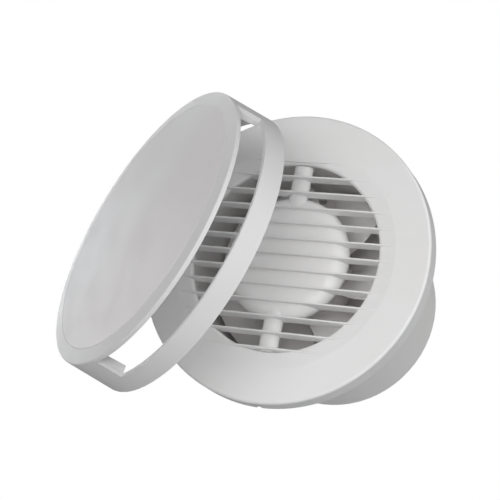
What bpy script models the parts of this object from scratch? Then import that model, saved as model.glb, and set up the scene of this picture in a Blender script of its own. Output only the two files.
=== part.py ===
"""Round bathroom exhaust fan for a 150 mm duct, with its front cap held off the face.

Millimetres are used throughout and turned into metres when a mesh is made. The fan's axis is Y:
the wall plane is y = 0, the face looks towards -Y and the duct spigot runs towards +Y. Z is up.
"""

import math

import bmesh
import bpy
import numpy as np
from mathutils import Matrix, Quaternion, Vector

MM = 0.001

# Clearances
GAP = 0.3
FINE_GAP = 0.25
TIP_GAP = 1.2
FLAP_GAP = 1.6
WELD = 0.003

# Face and grille
FACE_RADIUS = 104.0
FLANGE_DEPTH = 13.5
SKIN = 2.2
RIM_ROUND = 2.0
DISH_WIDTH = 12.4
DISH_DEPTH = 1.1
THROAT_STEP = 3.6
THROAT_ROUND = 2.6
THROAT_DRAFT = 0.9
SLAT_COUNT = 13
SLAT_PITCH = 11.23
SLAT_RISE = 2.2
SLAT_THICKNESS = 1.2
SLAT_DEPTH = 6.4
SLAT_DROP = 1.8
SLAT_BITE = 0.8
PRY_SLOT_WIDTH = 4.0
PRY_SLOT_DEPTH = 4.5
PRY_SLOT_ANGLE = 270.0

# Duct housing
SPIGOT_RADIUS = 74.0
SPIGOT_END = 116.8
SPIGOT_CHAMFER = 1.0
TUBE_WALL = 2.8
PLATE_THICKNESS = 3.0
LIP_STEP = 1.8
LIP_WIDTH = 2.0
WALL_SCREW_HOLE = 2.6
WALL_SCREW_ANGLES = (45.0, 135.0, 225.0, 315.0)

# Snap hooks that hold the face on the housing's plate
SNAP_ANGLES = (60.0, 120.0, 240.0, 300.0)
SNAP_INSET = 4.7
SNAP_THICKNESS = 1.8
SNAP_WIDTH = 8.0
SNAP_CATCH = 1.4
SNAP_LEDGE = 1.4
SNAP_FLEX = 1.6

# Motor carrier
BAND_WALL = 2.1
BAND_LENGTH = 17.3
STRUT_WIDTH = 13.0
STRUT_NOSE = 4.0
STRUT_LENGTH = 14.3
STRUT_TAIL = 5.0
POD_SETBACK = 2.9
POD_FLAT = 33.0
POD_RADIUS = 45.0
POD_ROUND_DEPTH = 7.2
POD_DRAFT = 1.4
POD_SHOULDER_DEPTH = 4.0
POD_RIM_CLEARANCE = 2.4
POD_WALL = 2.2

# Motor
SHAFT_RADIUS = 2.5
BUSH_RADIUS = 5.0
BUSH_BOSS_RADIUS = 8.0
BUSH_SEAT = 1.2
STATOR_ROOM = 15.4
STATOR_LENGTH = 12.0
STATOR_RADIUS = 21.8
STATOR_YOKE = 4.6
STATOR_FACETS = 24
POLE_WIDTH = 7.0
COIL_WIDTH = 11.4
COIL_OVERHANG = 2.7
COIL_ROUND = 2.0
COIL_SETBACK = 1.8
AIR_GAP = 0.5
ROTOR_RADIUS = 9.3
ROTOR_OVERHANG = 0.5
POLE_ANGLES = (45.0, 135.0, 225.0, 315.0)
POST_RADIUS = 3.0
POST_CLEARANCE = 0.4
POST_ANGLES = (90.0, 210.0, 330.0)
MOTOR_PLATE_ROOM = 3.4
MOTOR_PLATE_THICKNESS = 2.0

# Impeller
HUB_RADIUS = 29.5
HUB_ROUND = 4.0
HUB_WALL = 2.0
HUB_DEPTH = 26.0
HUB_CLEARANCE = 2.5
HUB_BOSS_RADIUS = 6.5
HUB_BOSS_SETBACK = 8.0
HUB_RIB_ANGLES = (20.0, 110.0, 200.0, 290.0)
NUT_RADIUS = 4.9
NUT_THICKNESS = 3.2
SHAFT_SETBACK = 2.0
BLADE_COUNT = 7
BLADE_THICKNESS = 1.6
BLADE_SPAN_DEGREES = 43.0
BLADE_SWEEP_DEGREES = 16.0
BLADE_CAMBER = 2.2
BLADE_FRONT_MARGIN = 2.0
BLADE_BACK_MARGIN = 1.5

# Non-return shutter in the spigot
SHUTTER_CLEARANCE = 4.0
SHUTTER_DEPTH = 5.0
SHUTTER_RIM = 3.7
SHUTTER_BAR = 10.0
FLAP_THICKNESS = 1.2
FLAP_PIN_OFFSET = 2.6
FLAP_PIN_RADIUS = 0.8
BARREL_RADIUS = 1.9
BARREL_LENGTH = 26.0
EAR_LENGTH = 7.0
EAR_INSET = 5.2

# Screws
SCREW_SHANK = 1.3
SCREW_HEAD = 2.7
SCREW_HEAD_HEIGHT = 1.5
SCREW_LENGTH = 11.2

# Terminals and cable inlet
TERMINAL_ANGLE = 104.0
TERMINAL_LENGTH = 18.0
TERMINAL_WIDTH = 12.0
TERMINAL_CLEARANCE = 1.4
TERMINAL_PITCH = 9.0
TERMINAL_WELL = 2.6
TERMINAL_HEAD = 2.3
GROMMET_ANGLE = 76.0
GROMMET_BORE = 3.6
GROMMET_HOLE = 6.0
GROMMET_FLANGE = 7.4

# Cap, measured from its foot on the face to its front
CAP_INSET = 2.0
CAP_TAPER = 1.8
CAP_EDGE = 9.2
CAP_EDGE_DEPTH = 3.4
CAP_DEPTH = 36.4
CAP_CROWN = 1.0
CAP_SKIN = 2.2
WINDOW_FRONT = 3.9
WINDOW_BACK = 22.0
WINDOW_HALF_ANGLE = 67.5
WINDOW_FACETS = 18
GUSSET_THICKNESS = 2.0
GUSSET_DEEP = 17.0
GUSSET_SHALLOW = 3.4
MAGNET_INSET = 7.0
MAGNET_RADIUS = 4.0
MAGNET_ANGLES = (30.0, 150.0, 210.0, 330.0)
MAGNET_DEPTH = 2.5
MAGNET_BOSS_WALL = 1.6
KEEPER_DEPTH = 1.8
KEEPER_COVER = 1.8

# The cap swings off the face about a slanting line past the left rim
CAP_HINGE_ANGLE = 167.9
CAP_HINGE_DEPTH = 1.3
CAP_HINGE_AXIS = (-0.133, 0.413, -0.901)
CAP_OPEN_DEGREES = 42.9

# Radii and depths that follow from the sizes above
FACE_PLANE = -FLANGE_DEPTH
PLATE_PLANE = -PLATE_THICKNESS
BORE = SPIGOT_RADIUS - TUBE_WALL
PLATE_RADIUS = FACE_RADIUS - SKIN - GAP
THROAT_RADIUS = BORE - THROAT_STEP
DISH_RADIUS = THROAT_RADIUS + DISH_WIDTH
FIXING_CIRCLE = (SPIGOT_RADIUS + PLATE_RADIUS) / 2
SNAP_RADIUS = PLATE_RADIUS - SNAP_INSET
LIP_START = PLATE_PLANE + BAND_LENGTH
LIP_RADIUS = BORE - LIP_STEP
BAND_OUTER = BORE - GAP
BAND_INNER = BAND_OUTER - BAND_WALL
POD_FRONT = FACE_PLANE + POD_SETBACK
POD_SHELF = POD_FRONT + POD_WALL
POD_WIDEST = POD_FRONT + POD_ROUND_DEPTH
STATOR_FRONT = POD_SHELF + STATOR_ROOM
STATOR_BACK = STATOR_FRONT + STATOR_LENGTH
STATOR_BORE = ROTOR_RADIUS + AIR_GAP
BUSH_SEAT_BACK = STATOR_FRONT - 2 * SHAFT_RADIUS - 1.0
POST_CIRCLE = STATOR_RADIUS + POST_RADIUS + POST_CLEARANCE
MOTOR_PLATE_FRONT = STATOR_BACK + MOTOR_PLATE_ROOM
MOTOR_PLATE_RADIUS = POST_CIRCLE + POST_RADIUS + 0.2
POD_BACK = MOTOR_PLATE_FRONT + MOTOR_PLATE_THICKNESS + 1.1
POD_BACK_RADIUS = MOTOR_PLATE_RADIUS + POD_WALL
HUB_FRONT = POD_BACK + HUB_CLEARANCE
HUB_BACK = HUB_FRONT + HUB_DEPTH
HUB_BOSS_BACK = HUB_BACK - HUB_BOSS_SETBACK
BLADE_TIP = LIP_RADIUS - TIP_GAP
SHUTTER_FRONT = HUB_BACK + SHUTTER_CLEARANCE
SHUTTER_BACK = SHUTTER_FRONT + SHUTTER_DEPTH
SHUTTER_OUTER = BORE - GAP
SHUTTER_INNER = SHUTTER_OUTER - SHUTTER_RIM
SHUTTER_AXIS = SHUTTER_BACK + GAP + BARREL_RADIUS
FLAP_RADIUS = BORE - FLAP_GAP
EAR_REACH = SHUTTER_INNER - EAR_INSET
CAP_BACK_RADIUS = FACE_RADIUS - CAP_INSET
CAP_FRONT_RADIUS = CAP_BACK_RADIUS - CAP_TAPER
CAP_FLAT_RADIUS = CAP_FRONT_RADIUS - CAP_EDGE
CAP_FOOT = FACE_PLANE - GAP
CAP_FRONT = CAP_FOOT - CAP_DEPTH
MAGNET_CIRCLE = CAP_BACK_RADIUS - MAGNET_INSET
TERMINAL_FRONT = FACE_PLANE + SKIN + TERMINAL_CLEARANCE
TERMINAL_BACK = PLATE_PLANE - GAP

FACETS = 64
MEDIUM_FACETS = 32
SMALL_FACETS = 12
SCREW_FACETS = 10


def make_material(name, colour, roughness, metallic=0.0):
    """Return a Principled material with one colour."""
    material = bpy.data.materials.new(name)
    material.use_nodes = True
    shader = material.node_tree.nodes["Principled BSDF"]
    shader.inputs["Base Color"].default_value = (*colour, 1.0)
    shader.inputs["Roughness"].default_value = roughness
    shader.inputs["Metallic"].default_value = metallic
    return material


def add_object(name, bm, material=None, smooth_angle=35.0):
    """Turn a bmesh in millimetres into an object in metres, shaded smooth up to an angle."""
    bmesh.ops.remove_doubles(bm, verts=bm.verts, dist=WELD)
    bmesh.ops.dissolve_degenerate(bm, edges=bm.edges, dist=1e-5)
    bmesh.ops.recalc_face_normals(bm, faces=bm.faces)
    bmesh.ops.scale(bm, vec=(MM, MM, MM), verts=bm.verts)
    mesh = bpy.data.meshes.new(name)
    bm.to_mesh(mesh)
    bm.free()
    mesh.shade_smooth()
    mesh.set_sharp_from_angle(angle=math.radians(smooth_angle))
    if material:
        mesh.materials.append(material)
    obj = bpy.data.objects.new(name, mesh)
    bpy.context.scene.collection.objects.link(obj)
    return obj


def as_tool(obj):
    """Mark an object as one that only shapes others."""
    obj.hide_render = True
    obj.display_type = "WIRE"
    return obj


def boolean(target, tool, operation="DIFFERENCE"):
    """Cut, join or intersect a target with a tool object."""
    modifier = target.modifiers.new(f"{operation.lower()} {tool.name}", "BOOLEAN")
    modifier.operation = operation
    modifier.solver = "EXACT"
    modifier.object = as_tool(tool)
    return target


def turn(bm, profile, facets=FACETS):
    """Spin a closed profile of (radius, y) points about the Y axis into a solid of revolution."""
    ring = [bm.verts.new((radius, y, 0.0)) for radius, y in profile]
    edges = [bm.edges.new((ring[i - 1], ring[i])) for i in range(len(ring))
             if ring[i - 1].co.x > 0 or ring[i].co.x > 0]
    bmesh.ops.spin(bm, geom=ring + edges, cent=(0, 0, 0), axis=(0, 1, 0), dvec=(0, 0, 0),
                   angle=math.tau, steps=facets, use_merge=False, use_duplicate=False)
    return bm


def turned(name, profile, material=None, facets=FACETS):
    """Make an object from a closed profile of (radius, y) points spun about the Y axis."""
    return add_object(name, turn(bmesh.new(), profile, facets), material)


def add_cylinder(bm, radius, front, back, x=0.0, z=0.0, facets=SMALL_FACETS):
    """Add a solid cylinder along Y between two depths."""
    place = Matrix.Translation((x, (front + back) / 2, z)) @ Matrix.Rotation(math.pi / 2, 4, "X")
    bmesh.ops.create_cone(bm, cap_ends=True, segments=facets, radius1=radius, radius2=radius,
                          depth=abs(back - front), matrix=place)


def add_box(bm, size, centre, turn_degrees=0.0):
    """Add a box, turned about the Y axis through the origin after it is placed."""
    place = (Matrix.Rotation(math.radians(-turn_degrees), 4, "Y")
             @ Matrix.Translation(centre) @ Matrix.Diagonal((*size, 1.0)))
    bmesh.ops.create_cube(bm, size=1.0, matrix=place)


def add_prism(bm, outline, place):
    """Add a prism from an outline in x and z, one unit of y thick, through a placing matrix."""
    front = [bm.verts.new(place @ Vector((x, -0.5, z))) for x, z in outline]
    back = [bm.verts.new(place @ Vector((x, 0.5, z))) for x, z in outline]
    bm.faces.new(front)
    bm.faces.new(back[::-1])
    for i in range(len(outline)):
        bm.faces.new((front[i - 1], back[i - 1], back[i], front[i]))


def polar(radius, degrees):
    """Return x and z of a point on the face, measured from +X towards +Z."""
    angle = math.radians(degrees)
    return radius * math.cos(angle), radius * math.sin(angle)


def arc(centre, radii, start, end, steps):
    """Return (radius, y) points along an ellipse arc. At 0 degrees it points outwards, at 90 back."""
    angles = np.radians(np.linspace(start, end, steps + 1))
    return [(centre[0] + radii[0] * math.cos(a), centre[1] + radii[1] * math.sin(a)) for a in angles]


def grille_slats():
    """Make the comb of slats, trimmed to run just into the dished mouth."""
    bm = bmesh.new()
    front = FACE_PLANE + 0.1
    back = FACE_PLANE + SLAT_DEPTH
    half = SLAT_THICKNESS / 2
    reach = DISH_RADIUS + 4.0
    for row in range(SLAT_COUNT):
        height = SLAT_RISE + (row - (SLAT_COUNT - 1) / 2) * SLAT_PITCH
        outline = ((front, height + half), (front, height - half),
                   (back, height - half - SLAT_DROP), (back, height + half - SLAT_DROP))
        left = [bm.verts.new((-reach, y, z)) for y, z in outline]
        right = [bm.verts.new((reach, y, z)) for y, z in outline]
        bm.faces.new(left)
        bm.faces.new(right[::-1])
        for i in range(4):
            bm.faces.new((left[i - 1], right[i - 1], right[i], left[i]))
    slats = add_object("slat_comb", bm)
    mouth = mouth_curve(SLAT_BITE)
    above = FACE_PLANE - 2.0
    behind = PLATE_PLANE + 3.0
    plug = turned("mouth_plug", [(0.0, above), (mouth[0][0], above), *mouth, (mouth[-1][0], behind),
                                 (0.0, behind)])
    boolean(slats, plug, "INTERSECT")
    boolean(slats, turned("pod_clearance", [(0.0, POD_FRONT - GAP), *pod_profile(-GAP), (0.0, POD_BACK)],
                          facets=MEDIUM_FACETS))
    clearance = bmesh.new()
    for side in (1, -1):
        add_strut(clearance, side, THROAT_RADIUS, GAP)
    return as_tool(boolean(slats, add_object("strut_clearance", clearance)))


def mouth_curve(offset=0.0, steps=5):
    """Return the section of the shallow dish and the throat, moved into the moulding by an offset."""
    centre = (THROAT_RADIUS + THROAT_ROUND, FACE_PLANE + DISH_DEPTH + THROAT_ROUND)
    round_left = max(THROAT_ROUND - offset, 0.1)
    lip = arc(centre, (round_left, round_left), 270.0, 180.0, steps)
    return [(DISH_RADIUS, FACE_PLANE + offset), *lip, (THROAT_RADIUS + THROAT_DRAFT + offset, PLATE_PLANE)]


def front_grille(material):
    """Make the face: a round flange, a dished mouth crossed by the slats, and four snap hooks."""
    rim = arc((FACE_RADIUS - RIM_ROUND, FACE_PLANE + RIM_ROUND), (RIM_ROUND, RIM_ROUND), 270.0, 360.0, 2)
    inner = FACE_RADIUS - SKIN
    shelf = FACE_PLANE + SKIN
    profile = [*reversed(mouth_curve()), *rim, (FACE_RADIUS, 0.0), (inner, 0.0), (inner, shelf),
               *mouth_curve(SKIN, 2)]
    grille = turned("front_grille", profile, material)
    boolean(grille, grille_slats(), "UNION")
    bosses = bmesh.new()
    for degrees in MAGNET_ANGLES:
        x, z = polar(MAGNET_CIRCLE, degrees)
        add_cylinder(bosses, MAGNET_RADIUS + MAGNET_BOSS_WALL, shelf - SKIN / 2, shelf + KEEPER_DEPTH, x, z)
    for degrees in SNAP_ANGLES:
        add_radial_plate(bosses, snap_outline(), degrees, SNAP_WIDTH)
    boolean(grille, add_object("grille_bosses", bosses), "UNION")
    cuts = bmesh.new()
    for degrees in MAGNET_ANGLES:
        x, z = polar(MAGNET_CIRCLE, degrees)
        add_cylinder(cuts, MAGNET_RADIUS + FINE_GAP, FACE_PLANE + KEEPER_COVER, 1.0, x, z)
    add_box(cuts, (3 * SKIN, 2 * PRY_SLOT_DEPTH, PRY_SLOT_WIDTH), (FACE_RADIUS, 0.0, 0.0), PRY_SLOT_ANGLE)
    return boolean(grille, add_object("grille_cuts", cuts))


def snap_outline():
    """Return a snap hook's outline in radius and depth, from its root on the face to its catch."""
    outer = SNAP_RADIUS + SNAP_THICKNESS
    root = FACE_PLANE + SKIN / 2
    catch = PLATE_PLANE + SNAP_LEDGE + GAP
    return ((SNAP_RADIUS, root), (SNAP_RADIUS, -GAP), (outer, -GAP), (outer + SNAP_CATCH, catch + 0.7),
            (outer + SNAP_CATCH, catch), (outer, catch), (outer, root))


def duct_housing(material):
    """Make the wall plate and the spigot tube, in one moulding."""
    lip_end = LIP_START + LIP_WIDTH
    profile = [(BORE, PLATE_PLANE + GAP), (SPIGOT_RADIUS, PLATE_PLANE), (PLATE_RADIUS, PLATE_PLANE),
               (PLATE_RADIUS, 0.0), (SPIGOT_RADIUS, 0.0), (SPIGOT_RADIUS, SPIGOT_END - SPIGOT_CHAMFER),
               (SPIGOT_RADIUS - SPIGOT_CHAMFER, SPIGOT_END), (BORE, SPIGOT_END), (BORE, lip_end + LIP_STEP),
               (LIP_RADIUS, lip_end), (LIP_RADIUS, LIP_START), (BORE, LIP_START)]
    housing = turned("duct_housing", profile, material)
    front = PLATE_PLANE - 2.0
    holes = bmesh.new()
    for degrees in WALL_SCREW_ANGLES:
        x, z = polar(FIXING_CIRCLE, degrees)
        add_cylinder(holes, WALL_SCREW_HOLE, front, 2.0, x, z)
    slot_inner = SNAP_RADIUS - SNAP_FLEX
    slot_outer = SNAP_RADIUS + SNAP_THICKNESS + GAP
    slot_width = SNAP_WIDTH + 2 * GAP
    for degrees in SNAP_ANGLES:
        add_box(holes, (slot_outer - slot_inner, 2.0 - front, slot_width),
                ((slot_outer + slot_inner) / 2, (2.0 + front) / 2, 0.0), degrees)
    x, z = polar(FIXING_CIRCLE, GROMMET_ANGLE)
    add_cylinder(holes, GROMMET_HOLE, front, 2.0, x, z)
    boolean(housing, add_object("housing_holes", holes))
    recess_outer = slot_outer + SNAP_CATCH
    ledge = PLATE_PLANE + SNAP_LEDGE
    recesses = bmesh.new()
    for degrees in SNAP_ANGLES:
        add_box(recesses, (recess_outer - SNAP_RADIUS, 2.0 - ledge, slot_width + 1.0),
                ((recess_outer + SNAP_RADIUS) / 2, (2.0 + ledge) / 2, 0.0), degrees)
    return boolean(housing, add_object("snap_recesses", recesses))


def pod_profile(inset=0.0):
    """Return the pod's outer section from the rim of its flat front back to its open end."""
    front = POD_FRONT + inset
    radius = POD_RADIUS - inset
    nose = arc((POD_FLAT, POD_WIDEST), (radius - POD_FLAT, POD_WIDEST - front), 270.0, 360.0, 5)
    return [*nose, (radius - POD_DRAFT, POD_WIDEST + POD_SHOULDER_DEPTH), (POD_BACK_RADIUS - inset, POD_BACK)]


def add_strut(bm, side, tip, grow=0.0):
    """Add an upright strut out to a tip radius, round at its front and narrow at its back."""
    root = POD_RADIUS - 8.0
    half = STRUT_WIDTH / 2 + grow
    tail = STRUT_TAIL / 2 + grow
    widest = POD_FRONT + GAP + STRUT_NOSE
    back = POD_FRONT + GAP + STRUT_LENGTH + grow
    outline = [*arc((0.0, widest), (half, STRUT_NOSE + grow), 180.0, 360.0, 6), (tail, back), (-tail, back)]
    # The outline's z runs along the fan's axis and its thickness runs up the strut
    place = (Matrix.Translation((0.0, 0.0, side * (tip + root) / 2)) @ Matrix.Rotation(-math.pi / 2, 4, "X")
             @ Matrix.Diagonal((1.0, tip - root, 1.0, 1.0)))
    add_prism(bm, outline, place)


def motor_carrier(material):
    """Make the band, the two upright struts and the motor pod, in one moulding."""
    band_front = PLATE_PLANE + GAP
    band_back = LIP_START - GAP
    carrier = turned("motor_carrier", [(BAND_INNER, band_front), (BAND_OUTER, band_front), (BAND_OUTER, band_back),
                                       (BAND_INNER, band_back)], material)
    foot_inner = THROAT_RADIUS - 6.0
    foot_outer = BAND_INNER + BAND_WALL / 3
    foot_front = band_front + 0.4
    foot_back = POD_FRONT + STRUT_LENGTH - 0.4
    struts = bmesh.new()
    feet = bmesh.new()
    for side in (1, -1):
        add_strut(struts, side, THROAT_RADIUS - GAP)
        add_box(feet, (STRUT_TAIL - 0.6, foot_back - foot_front, foot_outer - foot_inner),
                (0.0, (foot_back + foot_front) / 2, side * (foot_outer + foot_inner) / 2))
    boolean(carrier, add_object("strut_feet", feet), "UNION")
    boolean(carrier, add_object("struts", struts), "UNION")
    pod = turned("pod_body", [(0.0, POD_FRONT), *pod_profile(), (0.0, POD_BACK)], facets=MEDIUM_FACETS)
    boolean(carrier, pod, "UNION")
    socket = BUSH_RADIUS + FINE_GAP
    behind = POD_BACK + 2.0
    well = [(0.0, POD_SHELF + BUSH_SEAT), (socket, POD_SHELF + BUSH_SEAT), (socket, BUSH_SEAT_BACK),
            (BUSH_BOSS_RADIUS, BUSH_SEAT_BACK), (BUSH_BOSS_RADIUS, POD_SHELF), *pod_profile(POD_WALL),
            (POD_BACK_RADIUS - POD_WALL, behind), (0.0, behind)]
    boolean(carrier, turned("pod_well", well, facets=MEDIUM_FACETS))
    posts = bmesh.new()
    holes = bmesh.new()
    for degrees in POST_ANGLES:
        x, z = polar(POST_CIRCLE, degrees)
        add_cylinder(posts, POST_RADIUS, POD_SHELF - 0.6, MOTOR_PLATE_FRONT - GAP, x, z)
        add_cylinder(holes, SCREW_SHANK + GAP, MOTOR_PLATE_FRONT - SCREW_LENGTH, POD_BACK, x, z)
    boolean(carrier, add_object("pod_posts", posts), "UNION")
    return boolean(carrier, add_object("pod_post_holes", holes))


def motor_plate(material):
    """Make the round plate that closes the pod and carries the rear bush."""
    front = MOTOR_PLATE_FRONT
    back = front + MOTOR_PLATE_THICKNESS
    socket = BUSH_RADIUS + FINE_GAP
    mouth = SHAFT_RADIUS + 0.8
    profile = [(socket, front - 1.6), (BUSH_BOSS_RADIUS, front - 1.6), (BUSH_BOSS_RADIUS, front),
               (MOTOR_PLATE_RADIUS, front), (MOTOR_PLATE_RADIUS, back), (BUSH_BOSS_RADIUS, back),
               (BUSH_BOSS_RADIUS - 1.0, back + 1.2), (mouth, back + 1.2), (mouth, back + 0.4), (socket, back + 0.4)]
    plate = turned("motor_plate", profile, material, STATOR_FACETS)
    holes = bmesh.new()
    for degrees in POST_ANGLES:
        x, z = polar(POST_CIRCLE, degrees)
        add_cylinder(holes, SCREW_SHANK + GAP, front - 2.0, back + 4.0, x, z)
    return boolean(plate, add_object("plate_holes", holes))


def screw(name, seat, tip, x, z, material, head_radius=SCREW_HEAD):
    """Make a cross-head screw along Y, with its head beyond the seat and its shank down to the tip."""
    away = 1.0 if seat > tip else -1.0
    top = seat + away * SCREW_HEAD_HEIGHT
    profile = [(0.0, tip), (SCREW_SHANK / 2, tip), (SCREW_SHANK, tip + away * SCREW_SHANK), (SCREW_SHANK, seat),
               (head_radius, seat), (head_radius, seat + away * SCREW_HEAD_HEIGHT * 0.4), (head_radius * 0.7, top),
               (0.0, top)]
    bm = turn(bmesh.new(), profile, SCREW_FACETS)
    bmesh.ops.translate(bm, vec=(x, 0.0, z), verts=bm.verts)
    head = add_object(name, bm, material)
    arm = head_radius * 0.6
    half = 0.4
    outline = [(half, half), (half, arm), (-half, arm), (-half, half), (-arm, half), (-arm, -half),
               (-half, -half), (-half, -arm), (half, -arm), (half, -half), (arm, -half), (arm, half)]
    slots = bmesh.new()
    add_prism(slots, outline, Matrix.Translation((x, top, z)) @ Matrix.Diagonal((1.0, SCREW_HEAD_HEIGHT, 1.0, 1.0)))
    return boolean(head, add_object(f"{name}_cross", slots))


def stator_stack(material):
    """Make the laminated stator: a ring with four inward poles."""
    inner = STATOR_RADIUS - STATOR_YOKE
    stack = turned("stator_stack", [(inner, STATOR_FRONT), (STATOR_RADIUS, STATOR_FRONT), (STATOR_RADIUS, STATOR_BACK),
                                    (inner, STATOR_BACK)], material, STATOR_FACETS)
    poles = bmesh.new()
    length = inner + STATOR_YOKE / 3 - STATOR_BORE
    for degrees in POLE_ANGLES:
        add_box(poles, (length, STATOR_LENGTH - 0.2, POLE_WIDTH),
                (STATOR_BORE + length / 2, (STATOR_FRONT + STATOR_BACK) / 2, 0.0), degrees)
    return boolean(stack, add_object("stator_poles", poles), "UNION")


def stator_coil(index, degrees, material):
    """Make one coil as a closed form round its pole."""
    bm = bmesh.new()
    middle = (STATOR_FRONT + STATOR_BACK) / 2
    inner = STATOR_BORE + COIL_SETBACK
    yoke = (STATOR_RADIUS - STATOR_YOKE) * math.cos(math.pi / STATOR_FACETS)
    outer = math.sqrt(yoke ** 2 - (COIL_WIDTH / 2) ** 2) - GAP
    reach = outer - inner
    add_box(bm, (reach, STATOR_LENGTH + 2 * COIL_OVERHANG, COIL_WIDTH), ((outer + inner) / 2, middle, 0.0), degrees)
    along = [edge for edge in bm.edges if abs(edge.calc_length() - reach) < 0.05]
    bmesh.ops.bevel(bm, geom=along, offset=COIL_ROUND, segments=3, affect="EDGES")
    coil = add_object(f"stator_coil_{index}", bm, material)
    window = bmesh.new()
    add_box(window, (reach + 4.0, STATOR_LENGTH + 2 * GAP, POLE_WIDTH + 2 * GAP),
            ((outer + inner) / 2, middle, 0.0), degrees)
    return boolean(coil, add_object(f"coil_window_{index}", window))


def bush(name, front, back, material):
    """Make a plain sintered bush for the shaft."""
    bore = SHAFT_RADIUS + GAP
    return turned(name, [(bore, front), (BUSH_RADIUS, front), (BUSH_RADIUS, back), (bore, back)], material, SMALL_FACETS)


def rotor_core(material):
    """Make the rotor that is pressed on the shaft inside the stator."""
    bore = SHAFT_RADIUS + GAP
    front = STATOR_FRONT - ROTOR_OVERHANG
    back = STATOR_BACK + ROTOR_OVERHANG
    return turned("rotor_core", [(bore, front), (ROTOR_RADIUS, front), (ROTOR_RADIUS, back), (bore, back)], material,
                  STATOR_FACETS)


def shaft(material):
    """Make the motor shaft, from inside the front bush to beyond the hub nut."""
    front = (POD_SHELF + BUSH_SEAT + BUSH_SEAT_BACK) / 2
    back = HUB_BACK - SHAFT_SETBACK
    return turned("shaft", [(0.0, front), (SHAFT_RADIUS, front), (SHAFT_RADIUS, back), (0.0, back)], material,
                  SMALL_FACETS)


def hub_nut(material):
    """Make the six-sided nut that holds the impeller on the shaft."""
    bore = (SHAFT_RADIUS + GAP) / math.cos(math.pi / 6)
    front = HUB_BOSS_BACK + GAP
    back = front + NUT_THICKNESS
    return turned("hub_nut", [(bore, front), (NUT_RADIUS, front), (NUT_RADIUS, back), (bore, back)], material, 6)


def impeller(material):
    """Make the hub and its seven twisted blades, in one moulding."""
    bore = SHAFT_RADIUS + GAP
    corner = HUB_RADIUS - HUB_ROUND
    floor = HUB_FRONT + HUB_WALL
    profile = [(bore, HUB_FRONT), (corner, HUB_FRONT),
               *arc((corner, HUB_FRONT + HUB_ROUND), (HUB_ROUND, HUB_ROUND), 290.0, 360.0, 3),
               (HUB_RADIUS, HUB_BACK), (HUB_RADIUS - HUB_WALL, HUB_BACK), (HUB_RADIUS - HUB_WALL, HUB_FRONT + HUB_ROUND),
               (corner, floor), (HUB_BOSS_RADIUS, floor), (HUB_BOSS_RADIUS, HUB_BOSS_BACK), (bore, HUB_BOSS_BACK)]
    hub = turned("impeller", profile, material, MEDIUM_FACETS)
    blades = bmesh.new()
    across = np.linspace(0.0, 1.0, 7)
    outward = np.linspace(HUB_RADIUS - HUB_WALL * 0.6, BLADE_TIP, 6)
    for blade in range(BLADE_COUNT):
        grid = [[blades.verts.new(blade_point(radius, share, blade)) for share in across] for radius in outward]
        for i in range(len(outward) - 1):
            for j in range(len(across) - 1):
                blades.faces.new((grid[i][j], grid[i][j + 1], grid[i + 1][j + 1], grid[i + 1][j]))
    sheet = add_object("impeller_blades", blades)
    solid = sheet.modifiers.new("thickness", "SOLIDIFY")
    solid.thickness = BLADE_THICKNESS * MM
    solid.offset = 0.0
    boolean(hub, sheet, "UNION")
    rib_inner = HUB_BOSS_RADIUS - 0.8
    rib_outer = HUB_RADIUS - HUB_WALL / 2
    ribs = bmesh.new()
    for degrees in HUB_RIB_ANGLES:
        add_box(ribs, (rib_outer - rib_inner, HUB_ROUND * 2, HUB_WALL * 0.8),
                ((rib_outer + rib_inner) / 2, floor + HUB_ROUND * 0.9, 0.0), degrees)
    return boolean(hub, add_object("hub_ribs", ribs), "UNION")


def blade_point(radius, share, blade):
    """Return a point of a blade's mid surface, from its leading edge (0) to its trailing edge (1)."""
    outward = max(0.0, (radius - HUB_RADIUS) / (BLADE_TIP - HUB_RADIUS))
    sweep = BLADE_SWEEP_DEGREES * outward ** 1.6
    angle = blade * 360.0 / BLADE_COUNT + sweep + BLADE_SPAN_DEGREES * (share - 0.5)
    front = HUB_FRONT + BLADE_FRONT_MARGIN + 1.5 * outward
    back = HUB_BACK - BLADE_BACK_MARGIN - 3.5 * outward
    x, z = polar(radius, angle)
    return x, front + (back - front) * share - BLADE_CAMBER * math.sin(math.pi * share), z


def shutter_frame(material):
    """Make the ring and upright bar that carry the two non-return flaps, in one moulding."""
    frame = turned("shutter_frame", [(SHUTTER_INNER, SHUTTER_FRONT), (SHUTTER_OUTER, SHUTTER_FRONT),
                                     (SHUTTER_OUTER, SHUTTER_BACK), (SHUTTER_INNER, SHUTTER_BACK)], material)
    bar = bmesh.new()
    add_box(bar, (SHUTTER_BAR, SHUTTER_DEPTH - 1.0, 2 * SHUTTER_INNER + SHUTTER_RIM / 2),
            (0.0, SHUTTER_BACK - SHUTTER_DEPTH / 2, 0.0))
    boolean(frame, add_object("shutter_bar", bar), "UNION")
    ear_front = SHUTTER_BACK - 1.5
    ear_back = SHUTTER_AXIS + BARREL_RADIUS
    ears = bmesh.new()
    bores = bmesh.new()
    for hand in (1, -1):
        for height in (-EAR_REACH, 0.0, EAR_REACH):
            add_box(ears, (2 * BARREL_RADIUS, ear_back - ear_front, EAR_LENGTH),
                    (hand * FLAP_PIN_OFFSET, (ear_back + ear_front) / 2, height))
        add_upright(bores, FLAP_PIN_RADIUS + GAP, hand * FLAP_PIN_OFFSET, -SHUTTER_INNER + 1.6, SHUTTER_OUTER)
    boolean(frame, add_object("shutter_ears", ears), "UNION")
    return boolean(frame, add_object("shutter_bores", bores))


def add_upright(bm, radius, x, low, high):
    """Add a solid cylinder along Z at the depth of the flaps' pins."""
    place = Matrix.Translation((x, SHUTTER_AXIS, (low + high) / 2))
    bmesh.ops.create_cone(bm, cap_ends=True, segments=SCREW_FACETS, radius1=radius, radius2=radius,
                          depth=high - low, matrix=place)


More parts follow.
